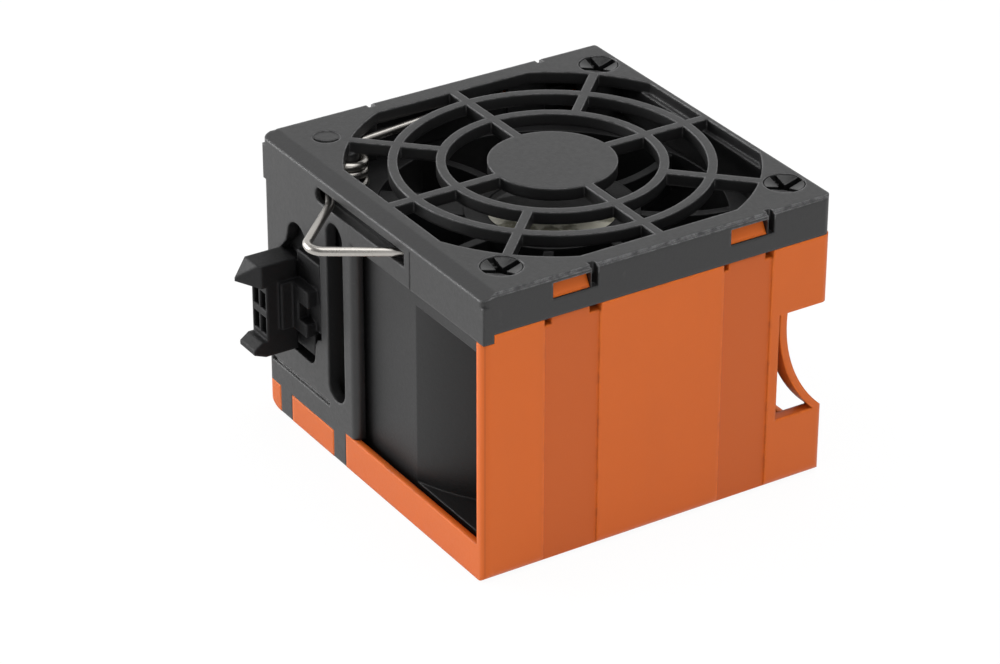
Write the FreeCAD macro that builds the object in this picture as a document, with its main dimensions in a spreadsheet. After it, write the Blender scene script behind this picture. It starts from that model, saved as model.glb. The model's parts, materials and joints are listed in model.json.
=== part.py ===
"""Hot-swap server fan module: a 60 mm axial fan in an orange shroud under a black grille cover.

Millimetres, +Z up along the fan axis, -Y the connector face, +X and -X the side walls,
+Y the grip side.  The origin is on the fan axis in the plane of the base.
"""
import FreeCAD, Part
import math
import os

import Sketcher
from FreeCAD import Placement, Rotation, Vector

doc = FreeCAD.newDocument("FanModule")

# ----------------------------------------------------------------------------- driving sizes

SIZES = [
    # plan of the module
    ("module_width", 64.0), ("shroud_wall", 1.9), ("fan_clearance", 0.1), ("back_trim", 1.1),
    ("panel_gap", 0.6), ("panel_thick", 1.8), ("corner_round", 1.2),
    # heights
    ("base_plate", 1.4), ("seat_gap", 0.1), ("fan_depth", 38.0), ("skirt_seat", 1.7),
    ("plenum", 6.15), ("cover_plate", 2.0),
    # orange shroud
    ("rail_height", 5.9), ("rail_wall", 1.0), ("panel_foot", 4.7), ("grip_wall", 1.0),
    ("grip_bar_low", 29.8), ("grip_ledge", 1.6), ("scoop_radius", 21.7), ("scoop_wall", 1.2),
    ("notch_length", 9.0), ("notch_low", 11.7),
    ("scoop_centre", 14.1), ("scoop_height", 28.0), ("scoop_width", 3.4), ("band_depth", 0.3),
    ("tongue_thick", 1.1), ("tab_reach", 1.3), ("base_round", 3.2), ("side_round", 1.6),
    # grille cover
    ("cover_wall", 1.4), ("back_skirt", 0.8), ("cover_setback", 0.2), ("cover_fit", 0.05),
    ("opening_inset", 1.6), ("hub_disc", 9.9), ("inner_ring", 16.9), ("outer_ring", 24.2),
    ("rib_width", 1.45), ("rim_drop", 1.35), ("edge_fall", 0.93), ("edge_slope", 2.4),
    ("window_low", 2.95), ("window_high", 5.55), ("slot_low", 1.65), ("slot_high", 4.1),
    # rivets
    ("hole_inset", 5.0), ("hole_radius", 2.2), ("base_hole", 2.5), ("rivet_head", 3.05), ("rivet_shank", 2.05),
    ("rivet_slot", 1.15), ("head_gap", 0.15), ("boss_radius", 3.55),
    # fan frame
    ("flange_thick", 3.9), ("barrel_bulge", 1.45), ("duct_wall", 3.0), ("motor_base", 13.5),
    ("base_disc", 1.5), ("skirt_wall", 1.2), ("vane_depth", 6.5), ("vane_thick", 1.5),
    ("label_radius", 10.0), ("label_thick", 0.12), ("label_recess", 0.25),
    # rotor
    ("blade_gap", 0.5), ("blade_thick", 1.6), ("rotor_hub", 14.2), ("hub_wall", 1.15), ("hub_low", 3.1),
    ("rotor_top_gap", 7.7), ("yoke_wall", 0.8), ("magnet_thick", 0.95), ("glue_gap", 0.05),
    ("shaft_radius", 1.5),
    # bearings and stator
    ("bearing_radius", 4.0), ("bearing_width", 4.0), ("tube_wall", 1.0), ("ball_radius", 0.75),
    ("race_play", 0.02), ("stator_radius", 10.8), ("stator_stack", 14.0), ("tooth_width", 3.2),
    ("coil_build", 1.6), ("board_thick", 1.0), ("board_drop", 4.5),
    # latch spring
    ("wire_radius", 0.7), ("coil_radius", 2.75), ("post_play", 0.15), ("post_inset_x", 7.0),
    ("post_inset_y", 7.4), ("loop_drop", 3.95), ("loop_reach", 11.02),
    # connector
    ("plug_inset", 9.2), ("plug_width", 4.6), ("plug_low", 14.5), ("plug_high", 30.25),
    ("plug_reach", 7.3), ("lead_radius", 0.5), ("lead_pitch", 1.2),
]


class Size:
    """A length that keeps its spreadsheet formula and its present value side by side."""

    def __init__(self, formula, value):
        self.formula = formula
        self.value = value

    def join(self, sign, other, value):
        """Joins two lengths with an arithmetic sign."""
        return Size("(%s %s %s)" % (self.formula, sign, formula_of(other)), value)

    def __add__(self, other):
        return self.join("+", other, self.value + value_of(other))

    def __sub__(self, other):
        return self.join("-", other, self.value - value_of(other))

    def __mul__(self, other):
        return self.join("*", other, self.value * value_of(other))

    def __truediv__(self, other):
        return self.join("/", other, self.value / value_of(other))

    def __radd__(self, other):
        return as_size(other) + self

    def __rsub__(self, other):
        return as_size(other) - self

    def __rmul__(self, other):
        return as_size(other) * self

    def __neg__(self):
        return as_size(0) - self


def formula_of(item):
    """The formula of a length or of a plain number."""
    return item.formula if isinstance(item, Size) else repr(item)


def value_of(item):
    """The present value of a length or of a plain number."""
    return item.value if isinstance(item, Size) else float(item)


def as_size(item):
    """A plain number as a length."""
    return item if isinstance(item, Size) else Size("(%r)" % item, float(item))


def make_sheet(sizes):
    """Writes the driving sizes to a spreadsheet and returns them as lengths by name."""
    sheet = doc.addObject("Spreadsheet::Sheet", "Sizes")
    named = {}
    for row, (name, number) in enumerate(sizes, start=1):
        sheet.set("A%d" % row, name)
        sheet.set("B%d" % row, str(number))
        sheet.setAlias("B%d" % row, name)
    doc.recompute()
    for name, number in sizes:
        named[name] = Size("Sizes.%s" % name, float(sheet.get(name)))
    return named


class Namespace:
    """Reads the named lengths as attributes."""

    def __init__(self, named):
        self.__dict__.update(named)


s = Namespace(make_sheet(SIZES))

# ----------------------------------------------------------------------------- worked-out places

half = s.module_width / 2
fan_half = half - s.shroud_wall - s.fan_clearance
front = fan_half + s.panel_gap + s.panel_thick
back = fan_half - s.back_trim
fan_back = back - s.grip_wall - 0.05
cover_back = back - s.cover_setback
wall_in = half - s.shroud_wall
panel_in = front - s.panel_thick

fan_low = s.base_plate + s.seat_gap
fan_top = fan_low + s.fan_depth
shroud_top = fan_top + s.skirt_seat
rim_low = shroud_top - s.rim_drop
plate_low = fan_top + s.plenum
top = plate_low + s.cover_plate

duct_radius = fan_half - s.duct_wall
barrel_radius = fan_half + s.barrel_bulge
hole_place = fan_half - s.hole_inset
opening_half = fan_half - s.opening_inset
opening_back = cover_back - 0.7
opening_radius = fan_half + s.opening_inset

rotor_top = fan_top - s.rotor_top_gap
rotor_low = fan_low + s.hub_low
yoke_radius = s.rotor_hub - s.hub_wall - s.glue_gap
yoke_low = rotor_low + s.hub_wall + s.glue_gap
tube_radius = s.bearing_radius + s.tube_wall
board_top = fan_top - s.board_drop + s.board_thick
board_low = fan_top - s.board_drop

fit = s.cover_fit
post_x = s.post_inset_x - fan_half
post_y = s.post_inset_y - fan_half
loop_height = top - s.loop_drop
plug_x = s.plug_inset - half

# The two flexible snap tabs on each side wall: low and high y, and their raised bands.
TABS = [((-20.6, -14.3), (-22.0, -12.5)), ((10.5, 16.9), (9.4, 18.2))]

# ----------------------------------------------------------------------------- building blocks

def bind(item, name, size):
    """Sets a property to a length and ties it to the length's formula."""
    if isinstance(size, Size):
        item.setExpression(name, size.formula)
    elif name.startswith(".") or name.startswith("Constraints"):
        item.setExpression(name, repr(float(size)))
    else:
        setattr(item, name, float(size))
    return item


def place(item, x=0, y=0, z=0, turn=None):
    """Puts an object at a bound position, with an optional fixed turn."""
    if turn is not None:
        item.Placement = Placement(Vector(0, 0, 0), turn)
    for axis, size in zip("xyz", (x, y, z)):
        bind(item, ".Placement.Base." + axis, size)
    return item


def block(name, xs, ys, zs):
    """A box between two lengths along each axis."""
    item = doc.addObject("Part::Box", name)
    bind(item, "Length", as_size(xs[1]) - xs[0])
    bind(item, "Width", as_size(ys[1]) - ys[0])
    bind(item, "Height", as_size(zs[1]) - zs[0])
    return place(item, xs[0], ys[0], zs[0])


UPRIGHT = Rotation()
ALONG_X = Rotation(Vector(0, 1, 0), 90)
ALONG_Y = Rotation(Vector(1, 0, 0), -90)


def drum(name, radius, zs, at=(0, 0)):
    """A cylinder upright between two heights."""
    item = doc.addObject("Part::Cylinder", name)
    bind(item, "Radius", as_size(radius))
    bind(item, "Height", as_size(zs[1]) - zs[0])
    return place(item, at[0], at[1], zs[0])


def roller(name, radius, ends, at, along):
    """A cylinder lying along X (at = y, z) or along Y (at = x, z)."""
    item = doc.addObject("Part::Cylinder", name)
    bind(item, "Radius", as_size(radius))
    bind(item, "Height", as_size(ends[1]) - ends[0])
    if along == "x":
        return place(item, ends[0], at[0], at[1], ALONG_X)
    return place(item, at[0], ends[0], at[1], ALONG_Y)


def ring(name, inner, outer, zs, at=(0, 0)):
    """A plain tube between two heights."""
    return cut(name, drum(name + "Out", outer, zs, at), drum(name + "In", inner, zs, at))


def cut(name, base, *tools):
    """Takes the tools away from the base."""
    item = doc.addObject("Part::Cut", name)
    item.Base = base
    item.Tool = tools[0] if len(tools) == 1 else fuse(name + "Tools", *tools)
    return item


def fuse(name, *members):
    """Joins the members into one shape."""
    item = doc.addObject("Part::MultiFuse", name)
    item.Shapes = list(members)
    item.Refine = True
    return item


def common(name, *members):
    """Keeps only what all the members share."""
    item = doc.addObject("Part::MultiCommon", name)
    item.Shapes = list(members)
    return item


def gather(name, *members):
    """Groups separate solids without joining them."""
    item = doc.addObject("Part::Compound", name)
    item.Links = list(members)
    return item


def rounded(name, xs, ys, zs, radius):
    """A block with its four upright edges rounded."""
    x_low, x_high, y_low, y_high = map(as_size, (*xs, *ys))
    corners = [drum("%sCorner%d" % (name, number), radius, zs, at) for number, at in enumerate([
        (x_low + radius, y_low + radius), (x_high - radius, y_low + radius),
        (x_low + radius, y_high - radius), (x_high - radius, y_high - radius)])]
    across = block(name + "Across", xs, (y_low + radius, y_high - radius), zs)
    along = block(name + "Along", (x_low + radius, x_high - radius), ys, zs)
    return fuse(name, across, along, *corners)


def draw(sketch, points):
    """Draws a closed outline whose corners are tied to their lengths.

    A third number on a point bulges the run after it to that radius: positive puts the arc's
    centre on the left of the run, negative on the right.
    """
    starts, ends = [], []
    for number, point in enumerate(points):
        here = Vector(value_of(point[0]), value_of(point[1]), 0)
        after = points[(number + 1) % len(points)]
        there = Vector(value_of(after[0]), value_of(after[1]), 0)
        if len(point) == 3:
            radius = value_of(point[2])
            chord = there - here
            left = Vector(-chord.y, chord.x, 0).normalize()
            reach = math.sqrt(radius * radius - chord.Length ** 2 / 4)
            side = math.copysign(1, radius)
            peak = (here + there) * 0.5 - left * (side * (abs(radius) - reach))
            edge = sketch.addGeometry(Part.Arc(here, peak, there), False)
            starts.append((edge, 1 if side > 0 else 2))
            ends.append((edge, 2 if side > 0 else 1))
        else:
            edge = sketch.addGeometry(Part.LineSegment(here, there), False)
            starts.append((edge, 1))
            ends.append((edge, 2))
    for number, point in enumerate(points):
        follow = starts[(number + 1) % len(points)]
        sketch.addConstraint(Sketcher.Constraint("Coincident", *ends[number], *follow))
        for kind, size in zip(("DistanceX", "DistanceY"), point):
            tie(sketch, kind, (-1, 1, *starts[number]), size)
        if len(point) == 3:
            tie(sketch, "Radius", starts[number][:1], point[2] if value_of(point[2]) > 0 else -point[2])
    return sketch


def tie(sketch, kind, where, size):
    """Adds a dimension to a sketch and binds it to a length."""
    number = sketch.addConstraint(Sketcher.Constraint(kind, *where, value_of(size)))
    if isinstance(size, Size):
        sketch.setExpression("Constraints[%d]" % number, size.formula)


def draw_circle(sketch, x, y, radius):
    """Draws a circle whose centre and radius are tied to their lengths."""
    circle = Part.Circle(Vector(value_of(x), value_of(y), 0), Vector(0, 0, 1), value_of(radius))
    edge = sketch.addGeometry(circle, False)
    tie(sketch, "DistanceX", (-1, 1, edge, 3), x)
    tie(sketch, "DistanceY", (-1, 1, edge, 3), y)
    tie(sketch, "Radius", (edge,), radius)
    return sketch


# Sketch planes: the turn that lays a sketch on them, and the direction and axis of their prisms.
PLANES = {
    "xy": (Rotation(), Vector(0, 0, 1), "z"),
    "xz": (Rotation(Vector(1, 0, 0), 90), Vector(0, 1, 0), "y"),
    "yz": (Rotation(Vector(1, 1, 1), 120), Vector(1, 0, 0), "x"),
}


def prism(name, plane, points, ends):
    """An outline drawn on a plane and carried from one length to another along its normal."""
    turn, direction, axis = PLANES[plane]
    sketch = draw(doc.addObject("Sketcher::SketchObject", name + "Outline"), points)
    place(sketch, **{axis: ends[0]}, turn=turn)
    item = doc.addObject("Part::Extrusion", name)
    item.Base = sketch
    item.DirMode = "Custom"
    item.Dir = direction
    item.Solid = True
    return bind(item, "LengthFwd", as_size(ends[1]) - ends[0])


def new_body(name):
    """An empty PartDesign body."""
    return doc.addObject("PartDesign::Body", name)


def body_sketch(body, plane, offset=0, turn=0):
    """A sketch on one of its body's own origin planes, moved along its normal and turned about it."""
    sketch = body.newObject("Sketcher::SketchObject", body.Name + "Sketch")
    role = plane.upper() + "_Plane"
    support = [item for item in body.Origin.OriginFeatures if item.Role == role][0]
    sketch.AttachmentSupport = [(support, "")]
    sketch.MapMode = "FlatFace"
    sketch.AttachmentOffset = Placement(Vector(0, 0, 0), Rotation(Vector(0, 0, 1), turn))
    bind(sketch, ".AttachmentOffset.Base.z", as_size(offset))
    return sketch


def body_axis(body, role):
    """One of a body's own origin axes."""
    return [item for item in body.Origin.OriginFeatures if item.Role == role][0]


def pad(body, sketch, height):
    """Raises a sketch by a length."""
    item = body.newObject("PartDesign::Pad", body.Name + "Pad")
    item.Profile = sketch
    return bind(item, "Length", as_size(height))


def revolve(body, points, kind="PartDesign::Revolution"):
    """Turns an outline of (radius, height) points fully round the fan axis."""
    sketch = draw(body_sketch(body, "xz"), points)
    item = body.newObject(kind, body.Name + kind.split("::")[1])
    item.Profile = sketch
    item.ReferenceAxis = (body_axis(body, "Z_Axis"), [""])
    item.Angle = 360
    return item


def spun(name, points):
    """A turned piece: one outline of (radius, height) points round the fan axis."""
    body = new_body(name)
    revolve(body, points)
    return body


def repeat(body, feature, count, angle=360):
    """Repeats a feature evenly over an angle round the fan axis."""
    item = body.newObject("PartDesign::PolarPattern", body.Name + "Pattern")
    item.Originals = [feature]
    item.Axis = (body_axis(body, "Z_Axis"), [""])
    item.Angle = angle
    item.Occurrences = count
    body.Tip = item
    return body


NODES = {}


def node(name, item):
    """Names a finished sub-part."""
    item.Label = name
    NODES[name] = item
    return item


def mirrored(name, item):
    """The same shape on the other side of the fan's YZ plane."""
    twin = doc.addObject("Part::Mirroring", name)
    twin.Source = item
    twin.Base = Vector(0, 0, 0)
    twin.Normal = Vector(1, 0, 0)
    return twin


def span(low, high, grow=0):
    """A pair of lengths, widened at both ends."""
    return (as_size(low) - grow, as_size(high) + grow)


# ----------------------------------------------------------------------------- orange shroud

def snap_tabs():
    """The flexible tongues on the +X wall with their ramped tabs."""
    members = []
    tongue_out = half - s.cover_wall - 0.1
    tongue_in = tongue_out - s.tongue_thick
    for number, (tab, _band) in enumerate(TABS):
        members.append(block("TongueRoot%d" % number, (tongue_in, wall_in + 0.5), tab,
                             (fan_top + 0.2, shroud_top)))
        members.append(block("Tongue%d" % number, (tongue_in, tongue_out), tab,
                             (fan_top + 0.2, shroud_top + s.window_high - 0.1)))
        ramp = [(tongue_out - 0.2, shroud_top + s.window_low + 0.1),
                (tongue_out + s.tab_reach, shroud_top + s.window_low + 0.1),
                (tongue_out, shroud_top + s.window_high - 0.15),
                (tongue_out - 0.2, shroud_top + s.window_high - 0.15)]
        members.append(prism("Tab%d" % number, "xz", ramp, tab))
    return fuse("SnapTabs", *members)


def side_cuts():
    """What is taken out of the +X wall: shallow bands, relief notches and the finger scoop."""
    members = []
    for number, (tab, band) in enumerate(TABS):
        members.append(block("Band%d" % number, (half - s.band_depth, half + 1), band, (-1, top)))
        for side, (low, high) in enumerate([(band[0] - 0.1, tab[0] - 0.1), (tab[1] + 0.1, band[1] + 0.2)]):
            members.append(block("Relief%d%d" % (number, side), (wall_in - 0.05, half + 1),
                                 (low, high), (shroud_top - 1.2, shroud_top + 1)))
    members.append(block("PostTop", (wall_in, half + 1), (-front - 1, -panel_in + fit),
                         (rim_low - fit, shroud_top + 1)))
    members.append(scoop("Scoop", s.scoop_radius, half + 1))
    return fuse("SideCuts", *members)


def scoop(name, radius, reach):
    """The finger space: a cylinder lying along X behind the corner, under the grip bar."""
    centre = back + s.scoop_centre
    barrel = roller(name + "Round", radius, (half - s.scoop_width, reach),
                    (centre, s.scoop_height), "x")
    under = block(name + "Under", (half - s.scoop_width - 1, half + 2), (0, back + 1),
                  (0, s.grip_bar_low))
    return common(name, barrel, under)


def scoop_strap():
    """The curved wall that lines the finger space, and the ledge under the grip bar."""
    centre_y = back + s.scoop_centre
    lining = scoop("Lining", s.scoop_radius + s.scoop_wall, half)
    hull = rounded("StrapHull", (-half, half), (-front, back), (s.rail_height, s.grip_bar_low),
                   s.corner_round)
    strap = common("Strap", lining, hull)
    ledge = block("Ledge", (half - s.scoop_width, wall_in + 0.1),
                  (centre_y - s.scoop_radius - s.scoop_wall, back),
                  (s.grip_bar_low, s.grip_bar_low + s.grip_ledge))
    return fuse("StrapAndLedge", strap, ledge)


def orange_shroud():
    """Side walls, front rail, grip bar and base plate, one moulding."""
    outer = rounded("ShroudOuter", (-half, half), (-front, back), (0, shroud_top), s.corner_round)
    cavity = block("ShroudCavity", (-wall_in, wall_in),
                   (s.rail_wall - front, back - s.grip_wall), (s.base_plate, shroud_top + 1))
    rail_x = plug_x + 14.9 + fit
    above_rail = block("AboveRail", (-wall_in, wall_in), (-front - 1, s.rail_wall - front + 1),
                       (s.rail_height, shroud_top + 1))
    panel_seat = block("PanelSeat", (-half - 1, wall_in), (-front - 1, -panel_in + fit),
                       (s.rail_height, shroud_top + 1))
    panel_notch = block("PanelNotch", (-half - 1, rail_x), (-front - 1, -panel_in + fit),
                        (s.panel_foot - 2 * fit, s.rail_height + 1))
    back_window = block("BackWindow", (s.scoop_width - half, half - s.scoop_width),
                        (back - s.grip_wall - 1, back + 1), (s.rail_height, s.grip_bar_low))
    notches = [block("Notch%d" % number, xs, (back - s.notch_length, back + 1), (s.notch_low, s.grip_bar_low))
               for number, xs in enumerate([(wall_in - 0.05, half + 1), (-half - 1, 0.05 - wall_in)])]
    air_mouth = drum("AirMouth", duct_radius + 0.6, (-1, s.base_plate + 1))
    round_base = [
        base_corner("RoundLeft", -half, s.base_round, 1),
        base_corner("RoundRight", half, s.side_round, -1),
    ]
    legs = [block("LegSeat%d" % number, span(*leg, fit), (-front - 1, -front + leg_thick + fit),
                  (-1, s.rail_height)) for number, leg in enumerate(leg_spans())]
    holes = [drum("BaseHole%d" % number, s.base_hole, (-1, s.base_plate + 1), at)
             for number, at in enumerate(corner_places())]
    straps = scoop_strap()
    walls = fuse("ShroudWalls",
                 cut("ShroudShell", outer, cavity, above_rail, panel_seat, panel_notch, back_window,
                     air_mouth, *notches, *round_base, *legs, *holes),
                 straps, mirrored("StrapMirror", straps))
    cuts = side_cuts()
    opened = cut("ShroudOpened", walls, cuts, mirrored("SideCutsMirror", cuts))
    tabs = snap_tabs()
    return fuse("Shroud", opened, tabs, mirrored("TabsMirror", tabs))


def base_corner(name, x, radius, side):
    """What is taken off a lower side edge to round it."""
    inner = x + side * radius if side > 0 else x - radius
    xs = (x - 1, inner) if side > 0 else (inner, x + 1)
    square = block(name + "Square", xs, (-front - 1, back + 1), (-1, radius))
    return cut(name, square, roller(name + "Drum", radius, (-front - 2, back + 2), (inner, radius), "y"))


def corner_places():
    """The four corner hole centres."""
    return [(x, y) for x in (-hole_place, hole_place) for y in (-hole_place, hole_place)]


leg_thick = as_size(1.2)


def leg_spans():
    """Low and high x of the two cover legs that stand in the front rail."""
    return [(plug_x - 5.35, plug_x - 1.85), (plug_x + 11.25, plug_x + 14.9)]


# ----------------------------------------------------------------------------- grille cover

def grille():
    """Hub disc, two rings, four straight spokes and four corner spokes."""
    zs = (plate_low, top)
    half_rib = s.rib_width / 2
    members = [drum("HubDisc", s.hub_disc, zs)]
    for name, radius in (("InnerRing", s.inner_ring), ("OuterRing", s.outer_ring)):
        members.append(ring(name, radius - half_rib, radius + half_rib, zs))
    reach = opening_half + 0.4
    starts = s.hub_disc - 0.5
    members.append(block("SpokeRight", (starts, reach), (-half_rib, half_rib), zs))
    members.append(block("SpokeLeft", (-reach, -starts), (-half_rib, half_rib), zs))
    members.append(block("SpokeFront", (-half_rib, half_rib), (-reach, -starts), zs))
    members.append(block("SpokeBack", (-half_rib, half_rib), (starts, opening_back + 0.3), zs))
    for number in range(4):
        spoke = doc.addObject("Part::Box", "CornerSpoke%d" % number)
        bind(spoke, "Length", opening_radius + 0.4 - s.inner_ring)
        bind(spoke, "Width", s.rib_width)
        bind(spoke, "Height", s.cover_plate)
        angle = 45 + 90 * number
        spoke.Placement = Placement(Vector(0, 0, 0), Rotation(Vector(0, 0, 1), angle))
        cosine, sine = math.cos(math.radians(angle)), math.sin(math.radians(angle))
        place(spoke, s.inner_ring * cosine + half_rib * sine, s.inner_ring * sine - half_rib * cosine,
              plate_low)
        members.append(spoke)
    return members


def cover_shell():
    """Plate with the fan opening, and the skirt that drops over the shroud."""
    plate = rounded("CoverPlate", (-half, half), (-front, cover_back), (plate_low, top), s.corner_round)
    opening = common("FanOpening", drum("OpeningRound", opening_radius, (plate_low - 1, top + 1)),
                     block("OpeningSquare", (-opening_half, opening_half), (-opening_half, opening_back),
                           (plate_low - 1, top + 1)))
    holes = []
    for number, (x, y) in enumerate(corner_places()[1:]):
        holes.append(drum("HeadSeat%d" % number, s.rivet_head + s.head_gap, (top - 1.25, top + 1), (x, y)))
        holes.append(drum("ShankHole%d" % number, s.hole_radius, (plate_low - 1, top), (x, y)))
    blank_x, blank_y = corner_places()[0]
    crescent = cut("BlankCrescent", drum("BlankDeep", 2.15, (top - 0.7, top + 1), (blank_x, blank_y)),
                   drum("BlankFloor", 2.5, (top - 0.8, top - 0.12), (blank_x - 1.2, blank_y + 0.8)))
    blank = fuse("BlankDish", crescent, drum("BlankHole", 2.15, (top - 0.12, top + 1), (blank_x, blank_y)))
    pierced = cut("CoverPierced", plate, opening, blank, *holes)
    skirt_outer = rounded("SkirtOuter", (-half, half), (-front, cover_back),
                          (shroud_top + fit, plate_low + 0.1), s.corner_round)
    skirt_inner = block("SkirtInner", (s.cover_wall - half, half - s.cover_wall),
                        (-panel_in, cover_back - s.back_skirt), (shroud_top - 1, plate_low + 1))
    return fuse("CoverShell", pierced, cut("Skirt", skirt_outer, skirt_inner))


def connector_panel():
    """The flat panel on the -Y face: front rim, connector opening, guide slot and legs."""
    ys = (-front, -panel_in)
    panel_x = plug_x + 18.0
    rim = block("FrontRim", (-half + 0.1, half), ys, (rim_low, plate_low + 0.1))
    sheet = rounded("PanelSheet", (-half, panel_x), (-front, -panel_in + s.corner_round * 2),
                    (s.panel_foot, plate_low + 0.1), s.corner_round)
    trimmed = common("PanelTrimmed", sheet, block("PanelBounds", (-half - 1, panel_x + 1), ys, (0, top)))
    legs = [block("Leg%d" % number, leg, (-front, -front + leg_thick), (fit, s.panel_foot + 0.5))
            for number, leg in enumerate(leg_spans())]
    body = fuse("PanelBody", rim, trimmed, *legs)
    through = (-front - 1, -panel_in + 1)
    outline = [(plug_x - 4.8, 29.5), (plug_x - 4.8, 19.5), (plug_x - 2.4, 15.0, 2.6), (plug_x + 0.3, 13.5),
               (plug_x + 4.2, 13.4, 1.7), (plug_x + 5.9, 15.1), (plug_x + 6.2, 17.4), (plug_x + 6.9, 18.5),
               (plug_x + 8.05, 18.9), (plug_x + 8.05, 33.0, 1.2), (plug_x + 6.9, 34.1), (plug_x + 3.6, 34.9),
               (plug_x + 2.4, 35.9, 3.0), (plug_x - 1.9, 33.3), (plug_x - 2.4, 31.9)]
    window = prism("PlugWindow", "xz", outline, through)
    slot_x = (plug_x + 9.95, plug_x + 15.0)
    slot_round = (slot_x[1] - slot_x[0]) / 2
    middle = slot_x[0] + slot_round
    slot = fuse("GuideSlot",
                block("SlotRun", slot_x, through, (10.3 + slot_round, 41.0 - slot_round)),
                roller("SlotLow", slot_round, through, (middle, 10.3 + slot_round), "y"),
                roller("SlotHigh", slot_round, through, (middle, 41.0 - slot_round), "y"))
    sleeve = block("SlotSleeve", (slot_x[0] - 0.8, slot_x[0]), (-panel_in - 0.1, 1.4 - panel_in),
                   (9.5, fan_top - s.flange_thick - fit))
    groove = block("PanelGroove", (-half + 1.4, slot_x[0] + 0.2), (-front - 1, -front + 0.5), (8.4, 9.3))
    beside = block("PanelFootStep", (plug_x + 14.9, panel_x + 1), through, (0, s.rail_height + fit))
    return fuse("PanelAndSleeve", cut("Panel", body, window, slot, groove, beside), sleeve)


def latch_slot():
    """The slot that the wire latch works in."""
    zs = (shroud_top + s.slot_low, shroud_top + s.slot_high)
    radius = (s.slot_high - s.slot_low) / 2
    low, high = post_x + 7.3, post_x + 33.2
    through = (-front - 1, -panel_in + 0.5)
    return fuse("LatchSlot", block("LatchSlotRun", (low + radius, high), through, zs),
                roller("LatchSlotEnd", radius, through, (low + radius, zs[0] + radius), "y"),
                block("LatchRelief", (low - 2.2, low + 3), (-panel_in - 0.9, -panel_in + 0.5),
                      (zs[0] - 0.8, zs[1])))


def plenum_liner():
    """The inner wall on the +X side: it stands on the fan inside the shroud and passes behind the tongues."""
    members = []
    ends = [-panel_in, *[edge for tab, _band in TABS for edge in tab], 21.6]
    for number, (low, high) in enumerate(zip(ends[0::2], ends[1::2])):
        ys = span(low, high, -0.2)
        members.append(block("LinerRun%d" % number, (wall_in - 0.9, wall_in - fit), ys,
                             (fan_top + fit, shroud_top + 2.1)))
        members.append(block("LinerStep%d" % number, (wall_in - 0.9, half - s.cover_wall + 0.1), ys,
                             (shroud_top + fit, shroud_top + 2.1)))
    for number, (tab, _band) in enumerate(TABS):
        members.append(block("LinerPocket%d" % number, (opening_half + 0.1, half - s.cover_wall - 1.4),
                             span(*tab, 0.3), (fan_top + fit, plate_low + 0.1)))
    return fuse("PlenumLiner", *members)


def back_liner():
    """The inner wall along the +Y side, between the bosses."""
    return block("BackLiner", (-21.6, 21.6), (fan_back - 0.65, fan_back), (fan_top + fit, plate_low + 0.1))


def grille_cover():
    """The whole black cover, one moulding."""
    bosses = [cut("Boss%d" % number, drum("BossOut%d" % number, s.boss_radius,
                                          (fan_top + fit, plate_low + 0.1), at),
                  drum("BossIn%d" % number, s.hole_radius, (fan_top - 1, plate_low + 1), at))
              for number, at in enumerate(corner_places()[1:])]
    behind = block("BossTrim", (-half, half), (fan_back, back), (fan_top - 1, shroud_top + fit))
    post = drum("SpringPost", s.coil_radius - s.wire_radius - s.post_play,
                (fan_top + 0.15, plate_low + 0.1), (post_x, post_y))
    liner = plenum_liner()
    solid = fuse("CoverSolid", cover_shell(), connector_panel(), post, *grille(),
                 liner, mirrored("LinerMirror", liner), back_liner(),
                 *[cut("TrimmedBoss%d" % number, boss, behind) for number, boss in enumerate(bosses)])
    windows = []
    for number, (tab, _band) in enumerate(TABS):
        zs = (shroud_top + s.window_low, shroud_top + s.window_high)
        depth = half - s.cover_wall - s.tongue_thick - 0.2
        windows.append(block("TabWindow%d" % number, (depth, half + 1), span(*tab, 0.1), zs))
        windows.append(block("TabSlot%d" % number, (half - s.cover_wall, half + 1),
                             (tab[1] + 0.2, tab[1] + 1.35), (zs[0], top + 1)))
    windows.append(block("SideLip", (half - 0.5, half + 1), (-front + 1.5, back + 1), (top - 0.35, top + 1)))
    sides = fuse("CoverSideCuts", *windows)
    fall = prism("FrontFall", "yz", [(-front - 1, top - s.edge_fall * 1.4), (-front + s.edge_slope, top),
                                     (-front + s.edge_slope, top + 1), (-front - 1, top + 1)],
                 (-half - 1, half + 1))
    seam = block("RimSeam", (11.7, 11.95), (-front - 1, -front + 0.25), (rim_low - 1, top - 1.6))
    return cut("Cover", solid, sides, mirrored("CoverCutsMirror", sides), fall, seam, latch_slot())


def corner_rivets():
    """Push rivets with heads split crosswise; they hold the fan to the cover."""
    members = []
    for number, (x, y) in enumerate(corner_places()[1:]):
        low = fan_top - s.flange_thick
        stem = fuse("Rivet%d" % number,
                    drum("RivetHead%d" % number, s.rivet_head, (top - 1.2, top - 0.12), (x, y)),
                    drum("RivetShank%d" % number, s.rivet_shank, (low - 1.6, top - 1.0), (x, y)),
                    taper("RivetBarb%d" % number, s.rivet_shank - 0.6, s.hole_radius + 0.35, x, y,
                          low - 2.0, 1.9))
        dish = taper("RivetDish%d" % number, 0.3, s.rivet_head, x, y, top - 0.92, 0.85)
        slots = []
        for axis in ("x", "y"):
            wide = (-s.rivet_slot / 2, s.rivet_slot / 2)
            long = (-s.rivet_head - 1, s.rivet_head + 1)
            xs, ys = (long, wide) if axis == "x" else (wide, long)
            slots.append(block("RivetSlot%s%d" % (axis.upper(), number), (x + xs[0], x + xs[1]),
                               (y + ys[0], y + ys[1]), (top - 4.5, top + 1)))
        members.append(cut("SplitRivet%d" % number, stem, dish, *slots))
    return gather("CornerRivets", *members)


def taper(name, low_radius, high_radius, x, y, low, height):
    """An upright cone: the barb that keeps a rivet in, or the dish in its head."""
    item = doc.addObject("Part::Cone", name)
    bind(item, "Radius1", as_size(low_radius))
    bind(item, "Radius2", as_size(high_radius))
    bind(item, "Height", as_size(height))
    return place(item, x, y, low)


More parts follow.
